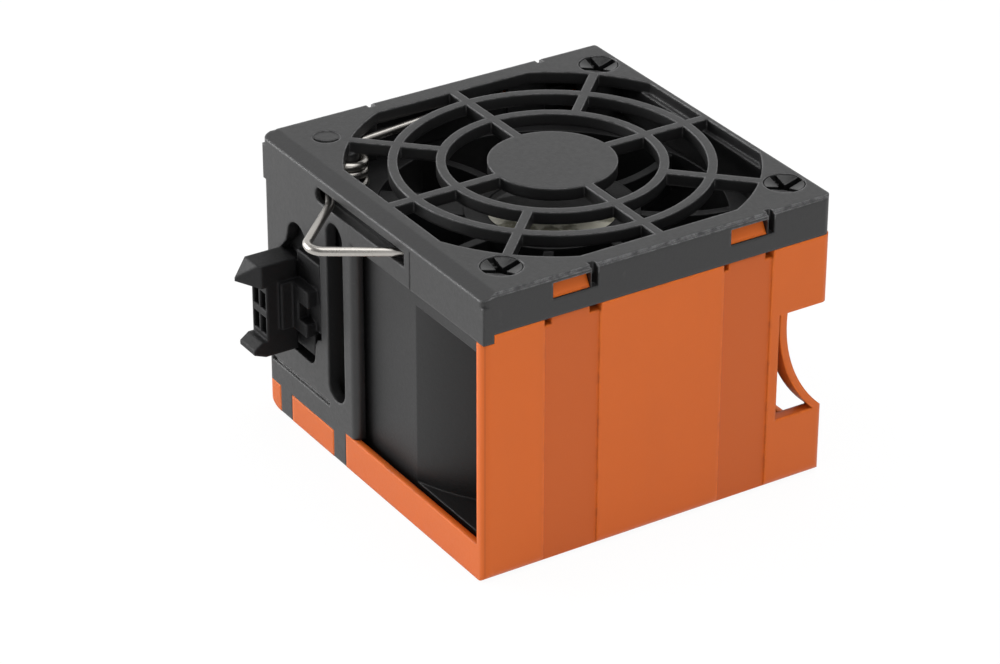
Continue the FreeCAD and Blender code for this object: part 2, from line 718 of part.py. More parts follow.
# ----------------------------------------------------------------------------- fan frame

VANES = 7
VANE_START = -83.0
CABLE_ANGLE = 230.0


def vane_ring():
    """The curved fixed vanes that carry the motor base, an eighth of a turn apart."""
    body = new_body("VaneRing")
    inner, outer = s.motor_base - 0.6, duct_radius + 0.6
    sketch = body_sketch(body, "xy", fan_top - s.vane_depth, VANE_START)
    draw(sketch, [(inner, as_size(0), 24.0), (outer, as_size(3.2)),
                  (outer, s.vane_thick + 3.2, -24.0), (inner, s.vane_thick)])
    return repeat(body, pad(body, sketch, s.vane_depth - 0.5), VANES, 270)


def motor_base():
    """The stator's cup: a disc with a skirt, a label recess and the bearing tube's hole."""
    skirt = s.motor_base - s.skirt_wall
    seat = s.label_radius + 0.2
    bore = tube_radius + 0.02
    return spun("MotorBase", [
        (bore, fan_top - s.base_disc), (skirt, fan_top - s.base_disc),
        (skirt, fan_top - s.vane_depth), (s.motor_base, fan_top - s.vane_depth),
        (s.motor_base, fan_top), (seat, fan_top), (seat, fan_top - s.label_recess),
        (bore, fan_top - s.label_recess)])


def radial_block(name, reach, width, zs):
    """A block that runs outward at the cable's azimuth."""
    item = doc.addObject("Part::Box", name)
    bind(item, "Length", as_size(reach[1]) - reach[0])
    bind(item, "Width", as_size(width))
    bind(item, "Height", as_size(zs[1]) - zs[0])
    x, y = cable_point(reach[0], -as_size(width) / 2)
    return place(item, x, y, zs[0], Rotation(Vector(0, 0, 1), CABLE_ANGLE))


def cable_point(reach, aside):
    """The x and y of a place out along the cable's azimuth and to its left."""
    cosine = round(math.cos(math.radians(CABLE_ANGLE)), 6)
    sine = round(math.sin(math.radians(CABLE_ANGLE)), 6)
    return (as_size(reach) * cosine - as_size(aside) * sine, as_size(reach) * sine + as_size(aside) * cosine)


def fan_frame():
    """Two flanges, the barrel between them, the fixed vanes and the motor base, one moulding."""
    plan = ((-fan_half, fan_half), (-fan_half, fan_back))
    flanges = [rounded("FlangeHigh", *plan, (fan_top - s.flange_thick, fan_top), 1.5),
               rounded("FlangeLow", *plan, (fan_low, fan_low + s.flange_thick), 1.5)]
    barrel = common("Barrel", drum("BarrelRound", barrel_radius, (fan_low, fan_top)),
                    block("BarrelSquare", *plan, (fan_low, fan_top)))
    duct = drum("Duct", duct_radius, (fan_low - 1, fan_top + 1))
    flare = doc.addObject("Part::Cone", "InletFlare")
    bind(flare, "Radius1", duct_radius + 1.5)
    bind(flare, "Radius2", duct_radius)
    bind(flare, "Height", as_size(2.5))
    place(flare, 0, 0, fan_low)
    holes = [drum("FanHole%d" % number, s.hole_radius, (fan_low - 1, fan_top + 1), at)
             for number, at in enumerate(corner_places())]
    shell = cut("FanShell", fuse("FanSolid", *flanges, barrel), duct, flare, *holes)
    strut = radial_block("CableStrut", (s.motor_base - 0.6, duct_radius + 0.6), 6.4,
                         (fan_top - s.vane_depth, fan_top - 0.5))
    channel = radial_block("CableChannel", (s.motor_base - s.skirt_wall - 0.3, barrel_radius + 6), 4.9,
                           (board_low - 1.3, board_low + 0.1))
    return cut("FanFrame", fuse("FanJoined", shell, vane_ring(), motor_base(), strut), channel)


# ----------------------------------------------------------------------------- rotor

BLADES = 7


def blade_section(body, x, low, high, lean, swell):
    """One section of a blade on a plane across the X axis: a thin bent strip."""
    sketch = body_sketch(body, "yz", x)
    reach = (as_size(high) - low) * (lean / 2)
    thick = s.blade_thick / 2
    return draw(sketch, [(-reach, low, -swell), (reach - thick, high), (reach + thick, high, swell + 1.0),
                         (-reach + thick * 2.2, low)])


def impeller():
    """The blown hub cup with its twisted blades."""
    body = new_body("Impeller")
    inner = yoke_radius + s.glue_gap
    revolve(body, [(as_size(0), rotor_low), (s.rotor_hub - 1.2, rotor_low), (s.rotor_hub, rotor_low + 1.2),
                   (s.rotor_hub, rotor_top), (inner, rotor_top), (inner, rotor_low + s.hub_wall),
                   (as_size(0), rotor_low + s.hub_wall)])
    sections = [
        blade_section(body, s.rotor_hub - 3.2, rotor_low + 1.4, rotor_top - 1.8, 0.466, 34.0),
        blade_section(body, (s.rotor_hub + duct_radius) / 2, rotor_low + 2.9, rotor_top - 2.3, 0.781, 38.0),
        blade_section(body, duct_radius + 1.0, rotor_low + 4.4, rotor_top - 2.8, 1.15, 42.0)]
    loft = body.newObject("PartDesign::AdditiveLoft", "Blade")
    loft.Profile = sections[0]
    loft.Sections = sections[1:]
    repeat(body, loft, BLADES)
    tip = duct_radius - s.blade_gap
    revolve(body, [(tip, fan_low - 2), (tip + 9, fan_low - 2), (tip + 9, fan_top), (tip, fan_top)],
            "PartDesign::Groove")
    clear = revolve(body, [(as_size(0), rotor_low + s.hub_wall), (inner, rotor_low + s.hub_wall),
                           (inner, fan_top), (as_size(0), fan_top)], "PartDesign::Groove")
    body.Tip = clear
    return body


def rotor_yoke():
    """The steel cup inside the hub, with the boss that holds the shaft."""
    inner = yoke_radius - s.yoke_wall
    boss = yoke_low + 3.2
    seat = lower_bearing[0]
    return spun("RotorYoke", [
        (s.shaft_radius, yoke_low), (yoke_radius, yoke_low), (yoke_radius, rotor_top - 0.8),
        (inner, rotor_top - 0.8), (inner, yoke_low + s.yoke_wall), (as_size(3.0), yoke_low + s.yoke_wall),
        (as_size(3.0), boss), (s.shaft_radius + 0.6, boss), (s.shaft_radius + 0.6, seat),
        (s.shaft_radius, seat)])


def rotor_shaft():
    """The steel shaft, grooved near its top for the clip."""
    groove = upper_bearing[1] + 0.1
    neck = s.shaft_radius - 0.35
    return spun("RotorShaft", [
        (as_size(0), yoke_low), (s.shaft_radius, yoke_low), (s.shaft_radius, groove), (neck, groove),
        (neck, groove + 0.4), (s.shaft_radius, groove + 0.4), (s.shaft_radius, groove + 0.5),
        (s.shaft_radius - 0.2, groove + 0.7), (as_size(0), groove + 0.7)])


# ----------------------------------------------------------------------------- bearings

lower_bearing = (yoke_low + 5.2, yoke_low + 5.2 + s.bearing_width)
upper_bearing = (fan_top - 3.0 - s.bearing_width, fan_top - 3.0)
shoulder = (lower_bearing[1], upper_bearing[0] - 0.6)
BALLS = 7


def race(name, inner, outer, zs):
    """One bearing ring with its ball groove."""
    torus = doc.addObject("Part::Torus", name + "Groove")
    bind(torus, "Radius1", ball_circle)
    bind(torus, "Radius2", s.ball_radius + s.race_play)
    place(torus, 0, 0, (zs[0] + zs[1]) / 2)
    return cut(name, ring(name + "Ring", inner, outer, zs), torus)


ball_circle = (s.bearing_radius + s.shaft_radius) / 2
race_inner = s.shaft_radius + 0.7
race_outer = s.bearing_radius - 0.7


def ball_set(name, zs):
    """The balls of one bearing."""
    balls = []
    for number in range(BALLS):
        angle = 2 * math.pi * number / BALLS
        ball = doc.addObject("Part::Sphere", "%s%d" % (name, number))
        bind(ball, "Radius", s.ball_radius)
        balls.append(place(ball, ball_circle * round(math.cos(angle), 6),
                           ball_circle * round(math.sin(angle), 6), (zs[0] + zs[1]) / 2))
    return gather(name, *balls)


def bearing_tube():
    """The brass tube that holds both bearings, with a shoulder between them."""
    low = lower_bearing[0] - 0.8
    return spun("BearingTube", [
        (s.bearing_radius, low), (tube_radius, low), (tube_radius, fan_top - 0.4),
        (s.bearing_radius, fan_top - 0.4), (s.bearing_radius, shoulder[1]),
        (race_outer - 0.1, shoulder[1]), (race_outer - 0.1, shoulder[0]), (s.bearing_radius, shoulder[0])])


def preload_washer():
    """The dished spring washer under the upper bearing's outer ring."""
    low, high = shoulder[1], upper_bearing[0]
    inner, outer = s.bearing_radius - 1.0, s.bearing_radius - 0.05
    return spun("PreloadWasher", [(inner, high - 0.2), (outer, low), (outer, low + 0.2), (inner, high)])


def retaining_clip():
    """The open clip in the shaft's groove."""
    low = upper_bearing[1] + 0.13
    zs = (low, low + 0.34)
    gap = block("ClipGap", (-0.45, 0.45), (0, 4), (low - 1, low + 1))
    return cut("RetainingClip", ring("ClipRing", s.shaft_radius - 0.33, s.shaft_radius + 0.9, zs), gap)


# ----------------------------------------------------------------------------- stator

stack = (lower_bearing[0] + 3.0, lower_bearing[0] + 3.0 + s.stator_stack)
TEETH = 4


def stator_core():
    """The iron core: a ring with shoed teeth."""
    body = new_body("StatorCore")
    centre = draw_circle(body_sketch(body, "xy", stack[0]), 0, 0, tube_radius)
    draw_circle(centre, 0, 0, tube_radius + 1.5)
    pad(body, centre, s.stator_stack)
    outer, inner = s.stator_radius, s.stator_radius - 1.1
    tooth = s.tooth_width / 2
    start = tube_radius + 0.9
    sketch = draw(body_sketch(body, "xy", stack[0]), [
        (start, -tooth), (inner - 0.15, -tooth), (inner * 0.809, -inner * 0.588),
        (outer * 0.809017, -outer * 0.587785, outer), (outer * 0.809017, outer * 0.587785),
        (inner * 0.809, inner * 0.588), (inner - 0.15, tooth), (start, tooth)])
    return repeat(body, pad(body, sketch, s.stator_stack), TEETH)


def winding_bobbins():
    """The two insulating end plates on the core."""
    plates = []
    arm = s.tooth_width / 2 + 0.4
    for name, zs in (("Low", (stack[0] - 0.8, stack[0])), ("High", (stack[1], stack[1] + 0.8))):
        reach = (1 - s.stator_radius, s.stator_radius - 1)
        cross = fuse("Bobbin%sCross" % name, block("Bobbin%sX" % name, reach, (-arm, arm), zs),
                     block("Bobbin%sY" % name, (-arm, arm), reach, zs),
                     drum("Bobbin%sHub" % name, tube_radius + 1.7, zs))
        bore = drum("Bobbin%sBore" % name, tube_radius, (zs[0] - 1, zs[1] + 1))
        plates.append(cut("Bobbin" + name, cross, bore))
    return gather("WindingBobbins", *plates)


def stator_windings():
    """The four copper windings round the teeth."""
    coils = []
    reach = (tube_radius + 1.8, s.stator_radius - 2.1)
    wide = s.tooth_width / 2 + s.coil_build
    slot = s.tooth_width / 2 + 0.45
    outer_z = span(*stack, 0.85 + 1.25)
    inner_z = span(*stack, 0.85)
    for number in range(TEETH):
        sign = 1 if number < 2 else -1
        run = reach if sign > 0 else (-reach[1], -reach[0])
        past = (run[0] - 1, run[1] + 1)
        sides, hollow = (-wide, wide), (-slot, slot)
        if number % 2:
            body = rounded("Coil%d" % number, sides, run, outer_z, 0.5)
            core = block("CoilCore%d" % number, hollow, past, inner_z)
        else:
            body = rounded("Coil%d" % number, run, sides, outer_z, 0.5)
            core = block("CoilCore%d" % number, past, hollow, inner_z)
        coils.append(cut("Winding%d" % number, body, core))
    return gather("StatorWindings", *coils)


def winding_pins():
    """The pins that carry the windings' ends up to the circuit board."""
    reach = (tube_radius + 1.1) * 0.7071
    return gather("WindingPins", *[
        drum("WindingPin%d" % number, 0.35, (stack[1] + 0.8, board_low), at)
        for number, at in enumerate([(reach, reach), (-reach, reach), (reach, -reach)])])


def circuit_board():
    """The ring-shaped circuit board under the motor base."""
    return ring("CircuitBoard", tube_radius + 0.1, s.motor_base - s.skirt_wall - 0.1, (board_low, board_top))


def board_parts():
    """A driver chip, two capacitors, a resistor row and the hall sensor."""
    items = [
        block("DriverChip", (-10.6, -6.2), (-2.4, 2.4), (board_top, board_top + 1.2)),
        block("CapacitorA", (6.0, 8.4), (4.2, 5.8), (board_top, board_top + 1.5)),
        block("CapacitorB", (6.0, 8.4), (-5.8, -4.2), (board_top, board_top + 1.5)),
        block("ResistorA", (-1.0, 1.0), (7.6, 8.8), (board_top, board_top + 0.5)),
        block("ResistorB", (2.2, 4.0), (8.6, 9.6), (board_top, board_top + 0.5)),
        block("HallSensor", (s.stator_radius - 0.3, s.stator_radius + 0.7), (-1.5, 1.5),
              (board_low - 1.1, board_low)),
    ]
    return gather("BoardParts", *items)


def hub_label():
    """The bare label disc on the motor base."""
    low = fan_top - s.label_recess
    return drum("HubLabel", s.label_radius, (low, low + s.label_thick))


# ----------------------------------------------------------------------------- wires

def run_wire(points):
    """Edges along a bent line: straight runs joined by tangent arcs.

    Each point is (x, y, z) with its bend radius as a fourth number where the line turns.
    """
    spots = [Vector(*map(value_of, point[:3])) for point in points]
    edges = []
    here = spots[0]
    for number in range(1, len(spots) - 1):
        corner = spots[number]
        before = (spots[number - 1] - corner).normalize()
        after = (spots[number + 1] - corner).normalize()
        turn = math.pi - before.getAngle(after)
        radius = value_of(points[number][3])
        setback = radius * math.tan(turn / 2)
        middle = (before + after).normalize() * (radius / math.cos(turn / 2) - radius)
        edges.append(Part.LineSegment(here, corner + before * setback).toShape())
        edges.append(Part.Arc(corner + before * setback, corner + middle, corner + after * setback).toShape())
        here = corner + after * setback
    edges.append(Part.LineSegment(here, spots[-1]).toShape())
    return edges


def drawn_wire(name, radius, edges):
    """A round wire drawn along a line of edges.  No primitive follows a bent line."""
    path = Part.Wire(edges)
    start = edges[0].valueAt(edges[0].FirstParameter)
    along = edges[0].tangentAt(edges[0].FirstParameter)
    ring_edge = Part.Circle(start, along, value_of(radius)).toShape()
    item = doc.addObject("Part::Feature", name)
    item.Shape = path.makePipeShell([Part.Wire([ring_edge])], True, True)
    return item


LEAD_PLACES = (-1.5, -0.5, 0.5, 1.5)


def lead(name, aside):
    """One insulated lead, from under the circuit board out to the connector."""
    height = board_low - s.lead_radius - 0.1
    start = cable_point(tube_radius + 5.8, s.lead_pitch * aside)
    drop_y = lead_y
    run = (drop_y - start[1]) / round(math.sin(math.radians(CABLE_ANGLE)), 6)
    drop_x = start[0] + run * round(math.cos(math.radians(CABLE_ANGLE)), 6)
    return drawn_wire(name, s.lead_radius, run_wire([
        (*start, height), (drop_x, drop_y, height, 3.0), (drop_x, drop_y, s.plug_high - 3.65)]))


lead_y = 3.0 - panel_in


def spring_coil():
    """The return spring: its coil on the post, and the leg that rests along the -X wall."""
    pitch = value_of(s.wire_radius) * 2 + 0.04
    high = plate_low - s.wire_radius - 0.35
    low = value_of(high) - pitch * SPRING_TURNS
    line = Part.makeHelix(pitch, pitch * SPRING_TURNS, value_of(s.coil_radius), 0, True)
    line.Placement = Placement(Vector(value_of(post_x), value_of(post_y), low),
                               Rotation(Vector(0, 0, 1), SPRING_LEAN))
    coil = drawn_wire("Coil", s.wire_radius, line.Edges)
    turn = math.radians(SPRING_LEAN)
    cosine, sine = round(math.cos(turn), 6), round(math.sin(turn), 6)
    end = (s.coil_radius * cosine + post_x, s.coil_radius * sine + post_y, high)
    leg = doc.addObject("Part::Cylinder", "CoilLeg")
    bind(leg, "Radius", s.wire_radius)
    bind(leg, "Height", fan_half + 1)
    place(leg, *end, Rotation(Vector(0, 0, 1), Vector(sine, -cosine, 0)))
    knuckle = doc.addObject("Part::Sphere", "CoilKnuckle")
    bind(knuckle, "Radius", s.wire_radius)
    place(knuckle, *end)
    return fuse("SpringCoil", coil, leg, knuckle)


SPRING_TURNS = 2
SPRING_LEAN = 186.9
EYE_START, EYE_END = -59.4, 240.6
LOOP_OUT, LOOP_IN = -45.6, 57.0


def latch_loop():
    """The wire latch: an eye round the post, and a pointed loop that stands out of the front."""
    low = fan_top + s.wire_radius + 0.05
    centre = Vector(value_of(post_x), value_of(post_y), value_of(low))
    radius = value_of(s.coil_radius)

    def on_eye(angle):
        turn = math.radians(angle)
        return centre + Vector(math.cos(turn), math.sin(turn), 0) * radius

    third = (EYE_END - EYE_START) / 4
    eye = [Part.Arc(on_eye(EYE_START), on_eye(EYE_START + third), on_eye(EYE_START + 2 * third)).toShape(),
           Part.Arc(on_eye(EYE_START + 2 * third), on_eye(EYE_END - third), on_eye(EYE_END)).toShape()]
    leave = on_eye(EYE_END)
    heading = Vector(math.cos(math.radians(EYE_END + 90)), math.sin(math.radians(EYE_END + 90)), 0)
    level = leave + heading * 3.2
    inside = leave + heading * ((value_of(panel_in) - 0.9 + leave.y) / -heading.y)
    left_foot = leave + heading * ((value_of(front) - 0.15 + leave.y) / -heading.y)
    inside.z = left_foot.z = value_of(loop_height)
    out = Vector(math.cos(math.radians(LOOP_OUT)), math.sin(math.radians(LOOP_OUT)), 0)
    back_in = Vector(math.cos(math.radians(LOOP_IN)), math.sin(math.radians(LOOP_IN)), 0)
    apex = left_foot + out * (value_of(s.loop_reach) / -out.y)
    last = apex + back_in * 17.4
    bends = [(*leave,), (*level, 4.0), (*inside, 4.0), (*left_foot, 3.0), (*apex, 1.8), (*last,)]
    return drawn_wire("LatchLoop", s.wire_radius, eye + run_wire(bends))


# ----------------------------------------------------------------------------- connector

plug = (plug_x - 3.7, plug_x - 3.7 + s.plug_width)
plug_face = -panel_in - s.plug_reach


def connector_body():
    """The floating connector: flange behind the panel, collar, contact block, prongs, rear housing."""
    flange = block("PlugFlange", (plug_x - 6.7, plug_x + 8.4), (0.1 - panel_in, 1.25 - panel_in),
                   (12.4, 35.2))
    collar_y = (-panel_in - 1.4, 0.15 - panel_in)
    collar = fuse("PlugCollar",
                  block("CollarMain", (plug_x - 4.1, plug_x + 7.2), collar_y, (19.6, 29.4)),
                  block("CollarHigh", (plug_x + 0.3, plug_x + 7.2), collar_y, (29.4, 31.4)),
                  block("CollarLow", (plug_x - 1.4, plug_x + 5.2), collar_y, (14.9, 19.6)))
    ears = [block("EarHigh", (plug[1] - 0.1, plug_x + 6.5), (-panel_in - 3.2, -panel_in), (24.2, 26.9)),
            block("EarMiddle", (plug[1] - 0.1, plug_x + 3.4), (-panel_in - 3.2, -panel_in), (21.0, 24.3)),
            block("EarLow", (plug[1] - 0.1, plug_x + 5.9), (-panel_in - 3.2, -panel_in), (18.9, 21.1)),
            block("EarWeb", (plug[1] - 0.1, plug[1] + 0.9), (-panel_in - 5.2, -panel_in), (18.9, 26.9))]
    root = -front - 0.15
    main = fuse("PlugMain", block("PlugNeck", plug, (root - 0.1, -panel_in), (19.0, 26.6)),
                block("PlugBlock", plug, (plug_face, root), (17.0, 26.6)))
    high_tip, low_tip = -panel_in - 10.3, -panel_in - 9.7
    upper = prism("UpperProng", "yz", [(root, 26.5), (high_tip, 26.5), (high_tip, 27.1),
                                       (high_tip + 1.9, s.plug_high), (root, s.plug_high)], plug)
    lower = prism("LowerProng", "yz", [(root, s.plug_low), (low_tip + 2.0, s.plug_low),
                                       (low_tip, s.plug_low + 0.8), (low_tip, s.plug_low + 1.5),
                                       (low_tip + 1.5, s.plug_low + 2.6), (root, s.plug_low + 2.6)], plug)
    slant = prism("TipSlant", "xy", [(plug[0] - 0.2, high_tip - 1), (plug[1] + 1, high_tip - 1),
                                     (plug[1] + 1, high_tip + 2.7), (plug[0] - 0.2, high_tip - 0.1)],
                  (26.4, s.plug_high + 1))
    cells = [block("Cell%d" % number, *spans) for number, spans in enumerate(cell_spans(0.85, 1.5, -1.0))]
    rear = block("RearHousing", (plug_x - 4.4, plug_x + 3.7), (1.2 - panel_in, 4.6 - panel_in), (15.8, 29.6))
    well = block("LeadWell", (plug_x - 3.8, plug_x + 3.1), (lead_y - 0.8, lead_y + 0.8), (25.6, 31.0))
    return cut("ConnectorBody", fuse("PlugSolid", flange, collar, *ears, main, upper, lower, rear),
               slant, well, *cells)


def cell_spans(half_wide, half_tall, start):
    """The x, y and z spans of four boxes centred on the plug's cells, two by two."""
    middle = plug_x - 3.7 + s.plug_width / 2
    return [((middle + x - half_wide, middle + x + half_wide), (plug_face + start, plug_face + 3.0),
             (z - half_tall, z + half_tall)) for x in (-1.08, 1.08) for z in (19.6, 23.8)]


def connector_contacts():
    """Four square pins, one standing in each cell."""
    return gather("ConnectorContacts", *[
        block("Contact%d" % number, *spans) for number, spans in enumerate(cell_spans(0.32, 0.32, 1.0))])


# ----------------------------------------------------------------------------- the nodes

node("orange_shroud", orange_shroud())
node("grille_cover", grille_cover())
node("corner_rivets", corner_rivets())
node("fan_frame", fan_frame())
node("impeller", impeller())
node("rotor_yoke", rotor_yoke())
node("rotor_magnet", ring("RotorMagnet", yoke_radius - s.yoke_wall - s.glue_gap - s.magnet_thick,
                          yoke_radius - s.yoke_wall - s.glue_gap, (stack[0] - 1, stack[1] + 2)))
node("rotor_shaft", rotor_shaft())
node("lower_bearing_outer", race("LowerOuter", race_outer, s.bearing_radius, lower_bearing))
node("lower_bearing_inner", race("LowerInner", s.shaft_radius, race_inner, lower_bearing))
node("lower_bearing_balls", ball_set("LowerBall", lower_bearing))
node("upper_bearing_outer", race("UpperOuter", race_outer, s.bearing_radius, upper_bearing))
node("upper_bearing_inner", race("UpperInner", s.shaft_radius, race_inner, upper_bearing))
node("upper_bearing_balls", ball_set("UpperBall", upper_bearing))
node("bearing_tube", bearing_tube())
node("preload_washer", preload_washer())
node("retaining_clip", retaining_clip())
node("stator_core", stator_core())
node("winding_bobbins", winding_bobbins())
node("stator_windings", stator_windings())
node("winding_pins", winding_pins())
node("circuit_board", circuit_board())
node("board_parts", board_parts())
node("hub_label", hub_label())
node("spring_coil", spring_coil())
node("latch_loop", latch_loop())
node("connector_body", connector_body())
node("connector_contacts", connector_contacts())
for lead_name, lead_aside in zip(("lead_red", "lead_black", "lead_yellow", "lead_blue"), LEAD_PLACES):
    node(lead_name, lead(lead_name.title().replace("_", ""), lead_aside))

doc.recompute()
for thing in doc.Objects:
    if "Invalid" in thing.State or "Error" in thing.State:
        raise RuntimeError("%s: %s" % (thing.Name, thing.State))
for name, item in NODES.items():
    if item.Shape.isNull() or not item.Shape.isValid():
        raise RuntimeError("%s has no sound shape" % name)

os.makedirs("parts", exist_ok=True)
for name, item in NODES.items():
    item.Shape.exportStep("parts/%s.step" % name)
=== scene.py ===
"""Looks for a hot-swap server fan module: finishes for its moulded, turned, drawn and wound pieces,
the bright spring wire, the copper windings, and a plain pale studio.

Lengths are metres in the module's own frame: +Z up along the fan's axis to the grille, -Y towards
the connector face, +X and -X the side walls."""

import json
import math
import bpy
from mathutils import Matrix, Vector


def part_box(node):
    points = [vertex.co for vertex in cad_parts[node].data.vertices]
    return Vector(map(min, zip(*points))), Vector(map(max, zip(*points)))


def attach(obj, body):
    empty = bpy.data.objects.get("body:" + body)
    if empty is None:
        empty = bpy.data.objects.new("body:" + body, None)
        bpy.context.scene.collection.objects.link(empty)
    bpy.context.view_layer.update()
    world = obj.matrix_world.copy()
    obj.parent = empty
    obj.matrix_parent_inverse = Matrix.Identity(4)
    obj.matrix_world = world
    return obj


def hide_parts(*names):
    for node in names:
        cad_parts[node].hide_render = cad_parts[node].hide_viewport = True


bl_info = {
    "name": "Server Fan Module",
    "version": (1, 0, 0),
    "blender": (4, 5, 0),
    "location": "View3D > Sidebar > Fan Module",
    "description": "Finishes, spring wire, windings and studio for a hot-swap server fan module",
    "category": "Object",
}

import bpy
import numpy as np
from bpy.props import FloatProperty, FloatVectorProperty, IntProperty, PointerProperty
from bpy.types import Operator, Panel, PropertyGroup
from mathutils import Matrix, Vector

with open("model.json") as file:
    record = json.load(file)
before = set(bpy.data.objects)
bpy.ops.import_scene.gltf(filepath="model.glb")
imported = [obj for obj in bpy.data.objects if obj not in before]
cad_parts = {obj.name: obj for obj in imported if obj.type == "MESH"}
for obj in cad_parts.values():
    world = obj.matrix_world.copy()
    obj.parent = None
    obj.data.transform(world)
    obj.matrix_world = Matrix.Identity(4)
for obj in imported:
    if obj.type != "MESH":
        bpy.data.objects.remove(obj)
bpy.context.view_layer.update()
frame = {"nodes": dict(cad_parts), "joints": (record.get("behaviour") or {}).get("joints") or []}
MM = 0.001

# The latch wire after its eye: where each bend is, in millimetres, and whether it is at the loop's
# height or still at the eye's.  The last entry is the wire's end.
LATCH_BENDS = ((-21.562, -26.567, False), (-16.001, -29.700, True), (-11.476, -32.250, True),
               (-0.684, -43.270, True), (8.792, -28.677, True))
LATCH_RADII = (0.004, 0.004, 0.003, 0.0026)
EYE_SWEEP = (-59.4, 240.6)          # degrees round the post, from the eye's cut end to its way out
COIL_TURNS = 2
COIL_START = math.radians(186.9)
COIL_PLAY = 0.04 * MM               # gap between one turn of the coil and the next
LEG_LENGTH = 0.031

LABEL_RIPPLE = 0.02 * MM
LABEL_DROOP = 0.08 * MM
LABEL_RIM = 0.9                     # share of the label's radius at which its rim starts to fall

# Each lamp: its name, the way to it, its width, and the setting that holds its light.
LAMPS = (("key_lamp", (-0.80, -0.75, 0.16), 0.7, "key"),
         ("fill_lamp", (1.0, -0.1, 0.35), 0.9, "fill"),
         ("top_lamp", (0.05, 0.10, 1.0), 0.95, "top"))
LAMP_DISTANCE = 0.9
LAMP_AIM = (0, 0, 0.02)
FLOOR_REACH = 1.6
FLOOR_DROP = 0.0002
FLOOR_GLOW = 1.02
FLOOR_GLOW_SHARE = 0.93             # how much of the floor's own light the camera sees
SENSOR_WIDTH = 36.0
AWAY_FROM_CAMERA = (-0.84, 0.54, 0.0)
TOWARDS_CAMERA = (0.84, -0.54, 0.0)


# ----------------------------------------------------------------------------- settings


def colour(name, description, default):
    """A colour setting, written as the share of red, green and blue light it gives back."""
    return FloatVectorProperty(name=name, description=description, default=default,
                               subtype="COLOR", size=3, min=0.0, max=1.0)


def share(name, description, default):
    """A setting between none and all."""
    return FloatProperty(name=name, description=description, default=default, min=0.0, max=1.0,
                         subtype="FACTOR")


def distance(name, description, default):
    """A length in metres."""
    return FloatProperty(name=name, description=description, default=default, min=0.0,
                         subtype="DISTANCE", unit="LENGTH", precision=5)


def brightness(name, description, default):
    """A level of light: 1 makes a white face white."""
    return FloatProperty(name=name, description=description, default=default, min=0)


def heading(name, description, degrees):
    """An angle, given here in degrees."""
    return FloatProperty(name=name, description=description, default=math.radians(degrees),
                         subtype="ANGLE")


class ShroudSettings(PropertyGroup):
    """The orange shroud."""
    body: colour("Body", "Orange of the moulded walls", (0.71, 0.142, 0.018))
    edge: colour("Edge", "Brighter orange where light gathers in thin edges", (0.98, 0.200, 0.015))
    # The band colour is painted shade in the shallow recessed bands.
    band: colour("Band", "Deeper orange of the two shallow bands on each side",
                 (0.56, 0.108, 0.017))
    edge_width: distance("Edge Width", "Radius that the edges are softened to", 0.0008)
    roughness: share("Roughness", "How satin the moulded walls are", 0.42)
    grain: distance("Grain", "Height of the fine moulded grain", 0.00002)


class MouldingSettings(PropertyGroup):
    """The black mouldings."""
    cover: colour("Cover", "Grille cover and connector panel", (0.011, 0.011, 0.0115))
    # The edge colour lightens the edges as rubbed wear and painted highlight, and at half strength
    # tints the scuffs.
    cover_wear_and_highlight: colour("Cover Edge", "Rubbed edges of the cover", (0.060, 0.060, 0.061))
    # Colour of the painted highlight along the cover's edges.
    cover_highlight: colour("Cover Crest", "Bright line worn along the cover's edges",
                        (0.230, 0.230, 0.235))
    fan: colour("Fan Body", "Barrel, flanges and vanes of the fan", (0.009, 0.009, 0.0095))
    blades: colour("Blades", "Impeller hub and blades", (0.006, 0.006, 0.0065))
    connector: colour("Connector", "Connector housing", (0.004, 0.004, 0.0045))
    rivets: colour("Rivets", "Split rivets in the corners", (0.008, 0.008, 0.0085))
    edge_width: distance("Edge Width", "Radius that the edges are softened to", 0.0006)
    roughness: share("Roughness", "How satin the cover is", 0.45)


class WireSettings(PropertyGroup):
    """The spring wire."""
    radius: distance("Wire Radius", "Radius of the drawn spring wire", 0.0007)
    coil: distance("Coil Radius", "Radius of the coil and the eye at the middle of the wire",
                   0.00275)
    sides: IntProperty(name="Sides", description="Faces round the wire", default=20, min=8, max=64)
    steel: colour("Steel", "Bright drawn steel", (0.47, 0.45, 0.42))
    roughness: share("Roughness", "How dull the drawn wire is", 0.26)


class MotorSettings(PropertyGroup):
    """The motor inside the hub."""
    steel: colour("Steel", "Yoke, shaft, washer and clip", (0.56, 0.55, 0.54))
    brass: colour("Brass", "Bearing tube and pins", (0.70, 0.50, 0.20))
    copper: colour("Copper", "Enamelled winding wire", (0.72, 0.26, 0.09))
    lamination: colour("Laminations", "Stacked core sheets", (0.28, 0.29, 0.31))
    board: colour("Board", "Solder mask of the circuit board", (0.02, 0.13, 0.05))
    label: colour("Label", "Pale field of the bare label film", (0.62, 0.60, 0.50))
    # Colour of the label's half turned away from the camera.
    label_dark: colour("Label Dark", "Dark field of the bare label film", (0.012, 0.012, 0.012))
    turn: distance("Winding Wire", "Diameter of the winding wire", 0.00032)
    sheet: distance("Core Sheet", "Thickness of one sheet of the stator core", 0.0005)


class LeadSettings(PropertyGroup):
    """The four leads."""
    red: colour("Red", "Supply lead", (0.45, 0.02, 0.015))
    black: colour("Black", "Return lead", (0.012, 0.012, 0.012))
    yellow: colour("Yellow", "Speed signal lead", (0.62, 0.42, 0.02))
    blue: colour("Blue", "Speed control lead", (0.02, 0.07, 0.32))
    radius: distance("Lead Radius", "Radius over the insulation", 0.0005)


